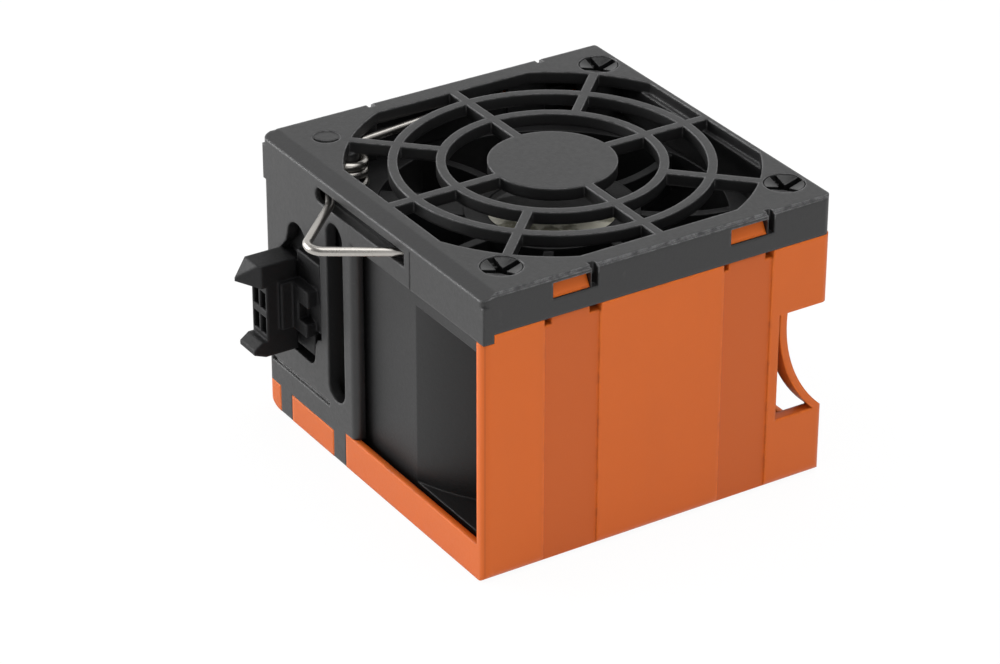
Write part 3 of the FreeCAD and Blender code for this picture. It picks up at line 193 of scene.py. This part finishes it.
class StudioSettings(PropertyGroup):
    """Camera, lamps and floor."""
    floor: colour("Floor", "Pale floor", (0.88, 0.88, 0.88))
    sky: brightness("Sky", "Light from all round on a white face", 0.32)
    key: brightness("Key", "Light of the large lamp by the connector on a white face", 1.18)
    fill: brightness("Fill", "Light of the side lamp on a white face", 0.24)
    top: brightness("Top", "Light of the overhead lamp on a white face", 0.75)
    room: share("Room", "How bright the unlit side of the studio is in a reflection", 0.22)
    lens: FloatProperty(name="Lens", description="Focal length for a 36 mm wide sensor",
                        default=134.31, min=1, subtype="DISTANCE_CAMERA")
    place: FloatVectorProperty(name="Place", description="Where the camera stands", size=3,
                               default=(0.42338, -0.27827, 0.29596), subtype="TRANSLATION",
                               unit="LENGTH")
    azimuth: heading("Azimuth", "Turn round the module from the connector face", 57.575)
    elevation: heading("Elevation", "Height above the horizon", 28.761)
    roll: heading("Roll", "Tilt of the camera about its own line of sight", 0.142)


class FanModuleSettings(PropertyGroup):
    """Everything a user may change."""
    shroud: PointerProperty(type=ShroudSettings)
    mouldings: PointerProperty(type=MouldingSettings)
    wire: PointerProperty(type=WireSettings)
    motor: PointerProperty(type=MotorSettings)
    leads: PointerProperty(type=LeadSettings)
    studio: PointerProperty(type=StudioSettings)


# ----------------------------------------------------------------------------- shader expressions


class Wave:
    """A value that changes over a surface: a socket on which operators add Math nodes."""

    def __init__(self, finish, socket):
        self.finish = finish
        self.socket = socket

    def maths(self, operation, first, second=0.0, clamp=False):
        """A Math node on two values or sockets."""
        return self.finish.node("ShaderNodeMath", {"operation": operation, "use_clamp": clamp},
                                {0: first, 1: second})

    def __add__(self, other):
        return self.maths("ADD", self, other)

    def __radd__(self, other):
        return self.maths("ADD", other, self)

    def __sub__(self, other):
        return self.maths("SUBTRACT", self, other)

    def __rsub__(self, other):
        return self.maths("SUBTRACT", other, self)

    def __mul__(self, other):
        return self.maths("MULTIPLY", self, other)

    def __rmul__(self, other):
        return self.maths("MULTIPLY", other, self)

    def __abs__(self):
        return self.maths("ABSOLUTE", self)

    def sine(self):
        """The sine of the value, read as radians."""
        return self.maths("SINE", self)

    def clamped(self):
        """The value held between 0 and 1."""
        return self.maths("ADD", self, clamp=True)


class Recipe:
    """A node tree being put together.  Every node comes from node()."""

    def __init__(self, tree):
        self.tree = tree

    def node(self, kind, settings=None, inputs=None, out=0):
        """A node of this kind: its settings first, then the values or links of its sockets."""
        made = self.tree.nodes.new(kind)
        for name, value in (settings or {}).items():
            setattr(made, name, value)
        for key, value in (inputs or {}).items():
            if isinstance(value, Wave):
                self.tree.links.new(value.socket, made.inputs[key])
            else:
                made.inputs[key].default_value = value
        return Wave(self, made.outputs[out])

    def step(self, value, low, high):
        """A smooth step from 0 at low to 1 at high."""
        return self.node("ShaderNodeMapRange", {"interpolation_type": "SMOOTHSTEP"},
                         {0: value, 1: low, 2: high, 3: 0.0, 4: 1.0})

    def facing(self, vector, direction):
        """How far a vector points along a direction, from -1 to 1 for vectors of length 1."""
        return self.node("ShaderNodeVectorMath", {"operation": "DOT_PRODUCT"},
                         {0: vector, 1: direction}, "Value")

    def rays(self, *kinds):
        """1 for rays of these kinds and 0 for light that falls on the object."""
        outputs = self.node("ShaderNodeLightPath").socket.node.outputs
        total = Wave(self, outputs[kinds[0]])
        for kind in kinds[1:]:
            total = total + Wave(self, outputs[kind])
        return total.clamped()


class Finish(Recipe):
    """One material being put together on Object coordinates."""

    def __init__(self, name):
        self.material = bpy.data.materials.new(name)
        self.material.use_nodes = True
        super().__init__(self.material.node_tree)
        self.surface = self.tree.nodes["Principled BSDF"]
        self.place = self.node("ShaderNodeTexCoord", out="Object")

    def set(self, **values):
        """Sets or links the shader's own sockets, named with underscores for spaces."""
        for name, value in values.items():
            socket = self.surface.inputs[name.replace("_", " ")]
            if isinstance(value, Wave):
                self.tree.links.new(value.socket, socket)
            elif hasattr(socket.default_value, "__len__"):
                socket.default_value = (*value, 1.0)[:len(socket.default_value)]
            else:
                socket.default_value = value

    def noise(self, scale, detail=3.0, stretch=(1, 1, 1)):
        """Cloudy variation between 0 and 1, with so many clouds to the metre.

        The Object coordinates are multiplied by the stretch first, so a small share draws the
        clouds out along that axis."""
        where = self.node("ShaderNodeMapping", None, {0: self.place, 3: stretch})
        return self.node("ShaderNodeTexNoise", None, {"Vector": where, "Scale": scale,
                                                      "Detail": detail, "Roughness": 0.55})

    def tint(self, amount, first, second):
        """A colour that goes from the first to the second with the amount."""
        full = [(*c, 1.0) if isinstance(c, (tuple, list)) else c for c in (first, second)]
        return self.node("ShaderNodeMix", {"data_type": "RGBA"},
                         {0: amount, 6: full[0], 7: full[1]}, 2)

    def along(self, axis):
        """One of the three Object coordinates, in metres."""
        return self.node("ShaderNodeSeparateXYZ", None, {0: self.place}, axis)

    def softened(self, radius):
        """A normal that rounds sharp edges to this radius, and how far it has turned.

        The second is 0 on a flat face and about 0.3 at a square edge."""
        rounded = self.node("ShaderNodeBevel", {"samples": 6}, {"Radius": radius})
        plain = self.node("ShaderNodeNewGeometry", out="True Normal")
        return rounded, 1.0 - self.facing(rounded, plain)

    def bumped(self, height, depth, normal=None):
        """A normal pushed about by a height pattern of this depth in metres."""
        inputs = {"Height": height, "Distance": depth, "Strength": 1.0}
        if normal is not None:
            inputs["Normal"] = normal
        return self.node("ShaderNodeBump", None, inputs)


def shaded(value, factor):
    """A colour made darker or lighter by a factor."""
    return tuple(min(channel * factor, 1.0) for channel in value)


def wear(objects, material):
    """Puts a material on these objects in place of what they wear."""
    for item in objects:
        item.data.materials.clear()
        item.data.materials.append(material)


def nodes(*names):
    """The CAD nodes of these names."""
    return [frame["nodes"][name] for name in names]


# ----------------------------------------------------------------------------- finishes


class Moulding:
    """Injection-moulded plastic: cloudy tone, edges lightened by rubbed wear and painted highlight,
    fine grain, faint flow lines.
    """

    # How many clouds of each pattern there are to the metre.
    BROAD, FINE, FLOW, NICKS, PATCHES, SKIN = 38.0, 420.0, 160.0, 900.0, 1500.0, 5200.0
    FLOW_STRETCH = (1.0, 1.0, 0.12)
    # How far the softened normal has turned where the edge wear and painted highlight begin and
    # where they are full; the second pair sets the painted highlight line on the crest.
    EDGE_WEAR_AND_HIGHLIGHT = (0.01, 0.22)
    EDGE_HIGHLIGHT = (0.10, 0.24)

    def __init__(self, name, body, edge_radius, clouds=0.12):
        self.finish = Finish(name)
        broad = self.finish.noise(self.BROAD, 2.0)
        self.fine = self.finish.noise(self.FINE, 3.0)
        flow = self.finish.noise(self.FLOW, 2.0, self.FLOW_STRETCH)
        self.cloud = broad * 0.6 + self.fine * 0.15 + flow * 0.25
        self.tone = self.finish.tint(self.cloud, shaded(body, 1.0 - clouds),
                                     shaded(body, 1.0 + clouds))
        self.rounded, self.bend = self.finish.softened(edge_radius)

    def paint(self, amount, tone):
        """Lays another tone over the body where the amount is above 0."""
        self.tone = self.finish.tint(amount, self.tone, tone)

    def edge_highlight(self, tone, where=1.0):
        """Paints a broken bright line along the very crest of each edge, a painted highlight, as
        far as where is above 0.
        """
        worn = self.finish.step(self.finish.noise(self.NICKS, 4.0), 0.35, 0.60)
        self.paint(self.finish.step(self.bend, *self.EDGE_HIGHLIGHT) * (worn * 0.75 + 0.25) * where, tone)

    def done(self, edge, roughness, grain=0.00001, gloss=0.5, wear_and_highlight=0.8, mottle=0.14):
        """Lightens the edges with rubbed wear and painted highlight, sets the grain and hands over
        the material.
        """
        finish = self.finish
        # Lighter, rougher edges: partly rubbed wear, partly painted highlight.
        edge_wear_and_highlight = finish.step(self.bend, *self.EDGE_WEAR_AND_HIGHLIGHT) * finish.step(self.fine, 0.25, 0.60) * wear_and_highlight
        self.paint(edge_wear_and_highlight, edge)
        patches = finish.noise(self.PATCHES, 2.0)
        pores = finish.noise(self.SKIN, 2.0) + patches * 0.6
        dull = (roughness - mottle) + self.cloud * mottle + patches * mottle + edge_wear_and_highlight * 0.08
        finish.set(Base_Color=self.tone, Specular_IOR_Level=gloss, Roughness=dull,
                   Normal=finish.bumped(pores, grain, self.rounded))
        return finish.material


def moulded(name, body, edge, roughness, edge_radius, grain=0.00001, clouds=0.12, gloss=0.5):
    """A plain moulding with nothing more painted on it."""
    return Moulding(name, body, edge_radius, clouds).done(edge, roughness, grain, gloss)


def metal(name, tone, roughness, stretch=(1, 1, 1)):
    """Bare metal with fine drawn or turned marks that follow one direction."""
    finish = Finish(name)
    lines = finish.noise(900.0, 3.0, stretch)
    spots = finish.noise(120.0, 2.0)
    steel = finish.tint(lines * 0.6 + spots * 0.4, shaded(tone, 0.78), shaded(tone, 1.12))
    finish.set(Base_Color=steel, Metallic=1.0, Roughness=(roughness - 0.06) + lines * 0.16,
               Normal=finish.bumped(lines, 0.000004))
    return finish.material


# ----------------------------------------------------------------------------- surfaces


def skin(name, points, body, material):
    """A closed mesh over a grid of points: rows follow the path, columns go round.

    Point (i, j) joins to (i + 1, j) and (i, j + 1), the columns wrap round, and each end row is
    one face.  An edge stays sharp where its faces meet at more than 40 degrees."""
    rows, columns = points.shape[:2]
    index = np.arange(rows * columns).reshape(rows, columns)
    across = np.roll(index, -1, axis=1)
    quads = np.stack([index[:-1], across[:-1], across[1:], index[1:]], axis=-1).reshape(-1, 4)
    faces = quads.tolist() + [index[0, ::-1].tolist(), index[-1].tolist()]
    mesh = bpy.data.meshes.new(name)
    mesh.from_pydata(points.reshape(-1, 3), [], faces)
    mesh.shade_smooth()
    mesh.set_sharp_from_angle(angle=math.radians(40.0))
    item = bpy.data.objects.new(name, mesh)
    bpy.context.scene.collection.objects.link(item)
    mesh.materials.append(material)
    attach(item, body)
    return item


def rounded_line(corners, radii, pace=0.00012):
    """Straight runs joined by arcs that touch both.

    At a corner where the line turns by t, the arc of radius r leaves the run r tan(t/2) before it,
    and its points are centre + r (cos a * out + sin a * along) for a from 0 to t."""
    corners = np.asarray(corners, float)
    pieces = [corners[:1]]
    for before, corner, after, radius in zip(corners[:-2], corners[1:-1], corners[2:], radii):
        come = (corner - before) / np.linalg.norm(corner - before)
        leave = (after - corner) / np.linalg.norm(after - corner)
        turn = math.acos(np.clip(come @ leave, -1, 1))
        start = corner - come * radius * math.tan(turn / 2)
        side = leave - come * (leave @ come)
        side /= np.linalg.norm(side)
        centre = start + side * radius
        angle = np.linspace(0, turn, max(int(turn * radius / pace), 8))[:, None]
        pieces.append(centre - side * radius * np.cos(angle) + come * radius * np.sin(angle))
    pieces.append(corners[-1:])
    return np.concatenate(pieces)


def eased(path, reach):
    """The same line with each end point made four, at 0, 1/8, 1/2 and 1 times the reach from it."""
    share_of_reach = np.array([0.0, 0.125, 0.5, 1.0])[:, None] * reach
    first = (path[1] - path[0]) / np.linalg.norm(path[1] - path[0])
    last = (path[-2] - path[-1]) / np.linalg.norm(path[-2] - path[-1])
    return np.concatenate([path[0] + first * share_of_reach, path[1:-1],
                           path[-1] + last * share_of_reach[::-1]])


def swept(path, radius, sides, reach=0.0004):
    """Rings of a round wire along a path.

    At each point the side is tangent x up and the rise is side x tangent, both made one unit long,
    and the ring is point + r (cos a * side + sin a * rise).  Within the reach of an end, at a share
    u of it, r is the wire's radius times 0.6 + 0.4 sqrt(u (2 - u)), so the cut end is rounded."""
    path = eased(path, reach)
    tangent = np.gradient(path, axis=0)
    tangent /= np.linalg.norm(tangent, axis=1)[:, None]
    side = np.cross(tangent, (0, 0, 1))
    side /= np.linalg.norm(side, axis=1)[:, None]
    rise = np.cross(side, tangent)
    run = np.concatenate([[0.0], np.cumsum(np.linalg.norm(np.diff(path, axis=0), axis=1))])
    near = np.clip(np.minimum(run, run[-1] - run) / reach, 0, 1)
    size = radius * (0.6 + 0.4 * np.sqrt(near * (2 - near)))
    angle = np.linspace(0, 2 * math.pi, sides, endpoint=False)
    circle = (np.cos(angle)[None, :, None] * side[:, None]
              + np.sin(angle)[None, :, None] * rise[:, None])
    return path[:, None] + circle * size[:, None, None]


def helix(centre, radius, pitch, turns, start, low):
    """A left-handed coil: angle = start - 2 pi t, height = low + pitch t, t from 0 to the turns."""
    t = np.linspace(0, turns, int(turns * 96) + 1)
    angle = start - 2 * math.pi * t
    return np.stack([centre[0] + radius * np.cos(angle), centre[1] + radius * np.sin(angle),
                     low + pitch * t], -1)


# ----------------------------------------------------------------------------- operators


class FANMODULE_OT_shroud(Operator):
    """Gives the orange shroud its moulded finish, with painted shade in the shallow bands of its
    side walls and towards the foot
    """
    bl_idname = "fanmodule.shroud"
    bl_label = "Orange Shroud"

    # How far inside the side wall's face the band's floor starts and stops, each as a short ramp.
    BAND_BACK = (0.00042, 0.00036)
    BAND_FRONT = (0.00024, 0.00018)
    FOOT = 0.040                    # height up to which the wall darkens towards its foot

    def execute(self, context):
        use = context.scene.fan_module.shroud
        moulding = Moulding("orange_plastic", tuple(use.body), use.edge_width, 0.10)
        finish = moulding.finish
        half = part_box("orange_shroud")[1].x
        across = abs(finish.along("X"))
        sunk = finish.step(across, *(half - inside for inside in self.BAND_BACK))
        band = sunk * (1.0 - finish.step(across, *(half - inside for inside in self.BAND_FRONT)))
        # Painted shade: deeper orange in the shallow recessed bands, and darker towards the wall's
        # foot.
        low = 1.0 - finish.step(finish.along("Z"), 0.0, self.FOOT)
        moulding.paint(band * (0.55 + moulding.cloud * 0.4), tuple(use.band))
        moulding.paint(low * 0.35, shaded(use.body, 0.82))
        wear(nodes("orange_shroud"),
             moulding.done(tuple(use.edge), use.roughness, use.grain, gloss=0.26, wear_and_highlight=1.0))
        return {"FINISHED"}


class FANMODULE_OT_cover(Operator):
    """Gives the grille cover and its rivets their black moulded finish, with edges lightened by
    wear and painted highlight
    """
    bl_idname = "fanmodule.cover"
    bl_label = "Grille Cover"

    # How far inside the cover's sides, and below its top, the outer rim starts and is full; the
    # painted highlight is brighter along the rim's top edge.
    RIM_SIDE = (0.0009, 0.0006)
    RIM_TOP = (0.0016, 0.0010)

    def execute(self, context):
        use = context.scene.fan_module.mouldings
        moulding = Moulding("cover_plastic", tuple(use.cover), use.edge_width, 0.25)
        finish = moulding.finish
        scuffs = finish.step(finish.noise(700.0, 4.0, (0.25, 1.0, 1.0)), 0.62, 0.80)
        moulding.paint(scuffs * 0.5, shaded(use.cover_wear_and_highlight, 0.5))
        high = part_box("grille_cover")[1]
        outer = finish.step(abs(finish.along("X")), *(high.x - inside for inside in self.RIM_SIDE))
        upper = finish.step(finish.along("Z"), *(high.z - below for below in self.RIM_TOP))
        # Painted highlight along the edges' crests, brighter on the outer rim's top edge.
        moulding.edge_highlight(tuple(use.cover_highlight), (1.0 - outer) * (upper * 0.75 + 0.25))
        moulding.edge_highlight(shaded(use.cover_highlight, 1.5), outer * upper)
        wear(nodes("grille_cover"),
             moulding.done(tuple(use.cover_wear_and_highlight), use.roughness, grain=0.000025, gloss=0.58,
                           wear_and_highlight=0.4, mottle=0.18))
        rivets = Moulding("rivet_plastic", tuple(use.rivets), 0.0002, 0.15)
        wear(nodes("corner_rivets"), rivets.done(shaded(use.rivets, 2.5), 0.30))
        return {"FINISHED"}


class FANMODULE_OT_fan(Operator):
    """Gives the fan body, its blades and its label their finishes"""
    bl_idname = "fanmodule.fan"
    bl_label = "Fan"

    def execute(self, context):
        use = context.scene.fan_module.mouldings
        body = Moulding("fan_plastic", tuple(use.fan), 0.0004, 0.2)
        # Painted highlight along the fan body's edges.
        body.edge_highlight(shaded(use.fan, 9.0))
        wear(nodes("fan_frame"), body.done(shaded(use.fan, 2.5), 0.46, 0.00003, 0.40))
        blades = Moulding("blade_plastic", tuple(use.blades), 0.0002, 0.2)
        wear(nodes("impeller"), blades.done(shaded(use.blades, 3.0), 0.33, 0.00001, 0.30))
        self.label(context.scene.fan_module.motor)
        return {"FINISHED"}

    @staticmethod
    def label(use):
        """The bare film: a disc rippled by angle and radius, and rounded down at its rim.

        Height = top + ripple * sin(3 a + 4 r / R) * r / R, less droop * (the share of the way
        from the start of the rim to its end), for angle a and radius r out of R."""
        low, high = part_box("hub_label")
        reach = (high.x - low.x) / 2
        ring, angle = np.meshgrid(np.linspace(0.0015, 1, 40),
                                  np.linspace(0, 2 * math.pi, 96, endpoint=False), indexing="ij")
        rise = high.z + LABEL_RIPPLE * np.sin(3 * angle + 4 * ring) * ring
        rise -= LABEL_DROOP * np.clip(ring - LABEL_RIM, 0, 1) / (1 - LABEL_RIM)
        points = np.stack([reach * ring * np.cos(angle), reach * ring * np.sin(angle), rise], -1)
        under = points[-1:].copy()
        under[..., 2] = low.z
        finish = Finish("label_film")
        fibre = finish.noise(900.0, 4.0)
        stain = finish.noise(160.0, 3.0)
        pale, dark = tuple(use.label), tuple(use.label_dark)
        # Dark on the half of the label turned away from the camera, pale on the half towards it.
        field = finish.step(finish.facing(finish.place, TOWARDS_CAMERA), 0.0008, 0.0012)
        smudge = finish.step(finish.noise(250.0, 4.0), 0.50, 0.60) * 0.8
        paper = finish.tint(fibre * 0.4 + stain * 0.6, shaded(pale, 0.8), shaded(pale, 1.2))
        paper = finish.tint(smudge, paper, (0.09, 0.085, 0.045))
        finish.set(Base_Color=finish.tint(field, dark, paper), Roughness=0.36 + fibre * 0.2,
                   Coat_Weight=0.2, Normal=finish.bumped(stain + fibre * 0.3, 0.00003))
        film = skin("label_disc", np.concatenate([points, under]), "housing",
                    finish.material)
        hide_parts("hub_label")


class FANMODULE_OT_spring(Operator):
    """Draws the latch and its return spring in smooth bright wire"""
    bl_idname = "fanmodule.spring"
    bl_label = "Spring Wire"

    @staticmethod
    def latch_line(use, post):
        """The eye round the post, level to the slot, out to the loop's point, and back again."""
        low, high = (value.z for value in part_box("latch_loop"))
        eye_height, loop_height = low + use.radius, high - use.radius
        angle = np.radians(np.linspace(*EYE_SWEEP, 140))
        eye = np.stack([post.x + use.coil * np.cos(angle), post.y + use.coil * np.sin(angle),
                        np.full_like(angle, eye_height)], axis=-1)
        bends = [(x * MM, y * MM, loop_height if raised else eye_height)
                 for x, y, raised in LATCH_BENDS]
        return np.concatenate([eye[:-1], rounded_line([eye[-1], *bends], LATCH_RADII)])

    @staticmethod
    def spring_line(use, post):
        """Turns round the post, then a straight leg along the side wall."""
        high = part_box("spring_coil")[1].z - use.radius
        pitch = use.radius * 2 + COIL_PLAY
        coil = helix(post, use.coil, pitch, COIL_TURNS, COIL_START, high - COIL_TURNS * pitch)
        ahead = np.array([math.sin(COIL_START), -math.cos(COIL_START), 0.0])
        leg = coil[-1] + ahead * LEG_LENGTH * np.linspace(0.02, 1, 24)[:, None]
        return np.concatenate([coil, leg])

    def execute(self, context):
        use = context.scene.fan_module.wire
        post = Vector(next(joint["pos_m"] for joint in frame["joints"]
                           if joint["name"] == "latch_press"))
        finish = Finish("drawn_steel")
        lines = finish.noise(2600.0, 3.0)
        spots = finish.noise(240.0, 2.0)
        tone = tuple(use.steel)
        steel = finish.tint(lines * 0.5 + spots * 0.5, shaded(tone, 0.75), shaded(tone, 1.15))
        finish.set(Base_Color=steel, Metallic=1.0, Roughness=(use.roughness - 0.05) + spots * 0.14,
                   Normal=finish.bumped(lines, 0.000003))
        latch = skin("latch_wire", swept(self.latch_line(use, post), use.radius, use.sides),
                     "latch", finish.material)
        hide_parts("latch_loop")
        coil = skin("spring_wire", swept(self.spring_line(use, post), use.radius, use.sides),
                    "housing", finish.material)
        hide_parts("spring_coil")
        return {"FINISHED"}


class FANMODULE_OT_connector(Operator):
    """Gives the floating connector and its contacts their finishes"""
    bl_idname = "fanmodule.connector"
    bl_label = "Connector"

    def execute(self, context):
        use = context.scene.fan_module.mouldings
        wear(nodes("connector_body"),
             moulded("connector_plastic", tuple(use.connector), shaded(use.connector, 5.0), 0.52,
                     0.0006, 0.00004, 0.3, gloss=0.26))
        wear(nodes("connector_contacts"), metal("plated_contact", (0.42, 0.34, 0.18), 0.35))
        return {"FINISHED"}


class FANMODULE_OT_leads(Operator):
    """Gives the four leads their coloured insulation"""
    bl_idname = "fanmodule.leads"
    bl_label = "Leads"

    def execute(self, context):
        use = context.scene.fan_module.leads
        for name in ("red", "black", "yellow", "blue"):
            tone = tuple(getattr(use, name))
            wear(nodes("lead_" + name),
                 moulded("insulation_" + name, tone, shaded(tone, 1.3), 0.4, 0.0001, clouds=0.1))
        return {"FINISHED"}


class FANMODULE_OT_motor(Operator):
    """Gives the motor's metal, copper and board pieces their finishes"""
    bl_idname = "fanmodule.motor"
    bl_label = "Motor"

    @staticmethod
    def banded(name, tone, roughness, axis, pitch):
        """Metal in fine rounded bands, one to each pitch, along an axis or out from the middle.

        The height of a band is the sine of the distance times two pi over the pitch."""
        finish = Finish(name)
        if axis:
            run = finish.along(axis)
        else:
            flat = finish.node("ShaderNodeVectorMath", {"operation": "MULTIPLY"},
                               {0: finish.place, 1: (1.0, 1.0, 0.0)})
            run = finish.node("ShaderNodeVectorMath", {"operation": "LENGTH"}, {0: flat}, "Value")
        wave = (run * (2 * math.pi / pitch)).sine() * 0.5 + 0.5
        spots = finish.noise(300.0, 2.0)
        # The tone follows each band's height, darker in its groove: painted shade between the
        # rounded copper turns, and the dark joints between core sheets.
        bright = finish.tint(wave * 0.6 + spots * 0.4, shaded(tone, 0.45), shaded(tone, 1.15))
        finish.set(Base_Color=bright, Metallic=1.0, Roughness=roughness + spots * 0.12,
                   Normal=finish.bumped(wave, 0.00006))
        return finish.material

    def execute(self, context):
        use = context.scene.fan_module.motor
        turned = (0.1, 0.1, 1.0)
        wear(nodes("rotor_yoke", "rotor_shaft", "preload_washer", "retaining_clip"),
             metal("turned_steel", tuple(use.steel), 0.32, turned))
        wear(nodes("lower_bearing_outer", "lower_bearing_inner", "lower_bearing_balls",
                   "upper_bearing_outer", "upper_bearing_inner", "upper_bearing_balls"),
             metal("bearing_steel", (0.72, 0.72, 0.74), 0.16))
        wear(nodes("bearing_tube", "winding_pins"),
             metal("turned_brass", tuple(use.brass), 0.28, turned))
        wear(nodes("stator_core"),
             self.banded("core_sheets", tuple(use.lamination), 0.42, "Z", use.sheet))
        wear(nodes("stator_windings"),
             self.banded("enamelled_copper", tuple(use.copper), 0.28, None, use.turn))
        # CAD node, material, body, edge, roughness, grain and clouds of each small moulding.
        for name, material, body, edge, roughness, grain, clouds in (
                ("rotor_magnet", "bonded_magnet", (0.035, 0.033, 0.032), (0.09, 0.09, 0.09),
                 0.62, 0.00004, 0.25),
                ("winding_bobbins", "bobbin_nylon", (0.62, 0.60, 0.52), (0.75, 0.73, 0.65),
                 0.45, 0.00001, 0.08),
                ("circuit_board", "solder_mask", tuple(use.board), shaded(use.board, 1.8),
                 0.3, 0.00001, 0.15),
                ("board_parts", "chip_resin", (0.02, 0.02, 0.021), (0.06, 0.06, 0.06),
                 0.5, 0.00002, 0.15)):
            wear(nodes(name), moulded(material, body, edge, roughness, 0.0001, grain, clouds))
        return {"FINISHED"}


class FANMODULE_OT_studio(Operator):
    """Sets out the pale floor, the soft lamps, the sky and the camera"""
    bl_idname = "fanmodule.studio"
    bl_label = "Studio"

    @staticmethod
    def floor(tone):
        """A wide flat floor, drawn as a grid of x and y, that keeps the object's shadow."""
        span = np.linspace(-FLOOR_REACH, FLOOR_REACH, 5)
        x, y = np.meshgrid(span, span, indexing="ij")
        points = np.stack([x, y, np.full_like(x, -FLOOR_DROP)], axis=-1).reshape(-1, 3)
        index = np.arange(x.size).reshape(x.shape)
        quads = np.stack([index[:-1, :-1], index[1:, :-1], index[1:, 1:], index[:-1, 1:]], -1)
        mesh = bpy.data.meshes.new("studio_floor")
        mesh.from_pydata(points, [], quads.reshape(-1, 4).tolist())
        finish = Finish("floor_paper")
        grain = finish.noise(300.0, 3.0)
        paper = finish.tint(grain, shaded(tone, 0.99), shaded(tone, 1.01))
        finish.set(Base_Color=paper, Roughness=0.9)
        glow = finish.node("ShaderNodeEmission", None,
                           {"Color": (1, 1, 1, 1), "Strength": FLOOR_GLOW})
        seen = finish.rays("Is Camera Ray", "Is Glossy Ray", "Is Transmission Ray")
        mixed = finish.node("ShaderNodeMixShader", None, {
            0: seen * FLOOR_GLOW_SHARE, 1: Wave(finish, finish.surface.outputs[0]), 2: glow})
        finish.tree.links.new(mixed.socket, finish.tree.nodes["Material Output"].inputs[0])
        mesh.materials.append(finish.material)
        item = bpy.data.objects.new("studio_floor", mesh)
        bpy.context.scene.collection.objects.link(item)

    @staticmethod
    def lamp(name, towards, span, level):
        """A square soft lamp; the level is how bright it makes a white face that is turned to it.

        Its power is pi squared times the distance squared times the level."""
        data = bpy.data.lights.new(name, "AREA")
        data.size = span
        data.energy = math.pi ** 2 * LAMP_DISTANCE ** 2 * level
        item = bpy.data.objects.new(name, data)
        aim = Vector(towards).normalized()
        item.location = Vector(LAMP_AIM) + aim * LAMP_DISTANCE
        item.rotation_mode = "QUATERNION"
        item.rotation_quaternion = aim.to_track_quat("Z", "Y")
        bpy.context.scene.collection.objects.link(item)

    @staticmethod
    def sky(level, room):
        """A white sky: dimmer where it lights the object, and as a reflection darker in two places.

        Those are the camera's side of the room and the ceiling."""
        world = bpy.data.worlds.new("studio_sky")
        world.use_nodes = True
        sky = Recipe(world.node_tree)
        sky.tree.nodes.clear()
        direction = sky.node("ShaderNodeTexCoord")
        backdrop = sky.step(sky.facing(direction, AWAY_FROM_CAMERA), -0.45, 0.35)
        ceiling = sky.step(sky.facing(direction, (0.0, 0.0, 1.0)), 0.58, 0.76)
        mirrored = backdrop * (1.0 - ceiling) * (1.0 - room) + room
        seen = sky.rays("Is Camera Ray", "Is Transmission Ray")
        gloss = sky.rays("Is Glossy Ray")
        strength = seen + (1.0 - seen) * (gloss * mirrored + (1.0 - gloss) * level)
        light = sky.node("ShaderNodeBackground", None,
                         {"Color": (1, 1, 1, 1), "Strength": strength})
        sky.tree.links.new(light.socket, sky.tree.nodes.new("ShaderNodeOutputWorld").inputs[0])
        bpy.context.scene.world = world

    @staticmethod
    def camera(use):
        """The camera, from its place and its three angles."""
        side, high, lean = use.azimuth, use.elevation, use.roll
        back = Vector((math.sin(side) * math.cos(high), -math.cos(side) * math.cos(high),
                       math.sin(high)))
        right = Vector((math.cos(side), math.sin(side), 0))
        up = back.cross(right)
        turned = (right * math.cos(lean) + up * math.sin(lean),
                  up * math.cos(lean) - right * math.sin(lean), back)
        data = bpy.data.cameras.new("studio_camera")
        data.lens = use.lens
        data.sensor_width = SENSOR_WIDTH
        data.clip_start, data.clip_end = 0.01, 10.0
        item = bpy.data.objects.new("studio_camera", data)
        item.matrix_world = (Matrix.Translation(Vector(use.place))
                             @ Matrix(turned).transposed().to_4x4())
        bpy.context.scene.collection.objects.link(item)
        bpy.context.scene.camera = item

    def execute(self, context):
        use = context.scene.fan_module.studio
        context.scene.view_settings.view_transform = "Standard"
        self.camera(use)
        self.floor(tuple(use.floor))
        self.sky(use.sky, use.room)
        for name, towards, span, level in LAMPS:
            self.lamp(name, towards, span, getattr(use, level))
        return {"FINISHED"}


class FANMODULE_PT_sidebar(Panel):
    """Lists the module's operators and settings"""
    bl_label = "Fan Module"
    bl_idname = "FANMODULE_PT_sidebar"
    bl_space_type = "VIEW_3D"
    bl_region_type = "UI"
    bl_category = "Fan Module"

    def draw(self, context):
        groups = context.scene.fan_module
        for operator, group in PANEL_ROWS:
            box = self.layout.box()
            box.operator(operator.bl_idname)
            if group:
                settings = getattr(groups, group)
                for name in settings.__annotations__:
                    box.prop(settings, name)


GROUPS = (ShroudSettings, MouldingSettings, WireSettings, MotorSettings, LeadSettings,
          StudioSettings, FanModuleSettings)

# Each operator in the order it runs, with the settings that stand under it.  The cover, the fan and
# the connector share one group, which stands under the cover.
PANEL_ROWS = ((FANMODULE_OT_studio, "studio"), (FANMODULE_OT_shroud, "shroud"),
              (FANMODULE_OT_cover, "mouldings"), (FANMODULE_OT_fan, None),
              (FANMODULE_OT_spring, "wire"), (FANMODULE_OT_connector, None),
              (FANMODULE_OT_leads, "leads"), (FANMODULE_OT_motor, "motor"))
OPERATORS = tuple(operator for operator, group in PANEL_ROWS)


def register():
    """Registers the settings, the operators and the panel."""
    for item in (*GROUPS, *OPERATORS, FANMODULE_PT_sidebar):
        bpy.utils.register_class(item)
    bpy.types.Scene.fan_module = PointerProperty(type=FanModuleSettings)


def unregister():
    """Takes them away again, the last first."""
    del bpy.types.Scene.fan_module
    for item in (FANMODULE_PT_sidebar, *reversed(OPERATORS), *reversed(GROUPS)):
        bpy.utils.unregister_class(item)


def main():
    """Runs every operator in order."""
    register()
    for operator in OPERATORS:
        getattr(bpy.ops.fanmodule, operator.bl_idname.split(".")[1])()


if __name__ == "__main__":
    main()
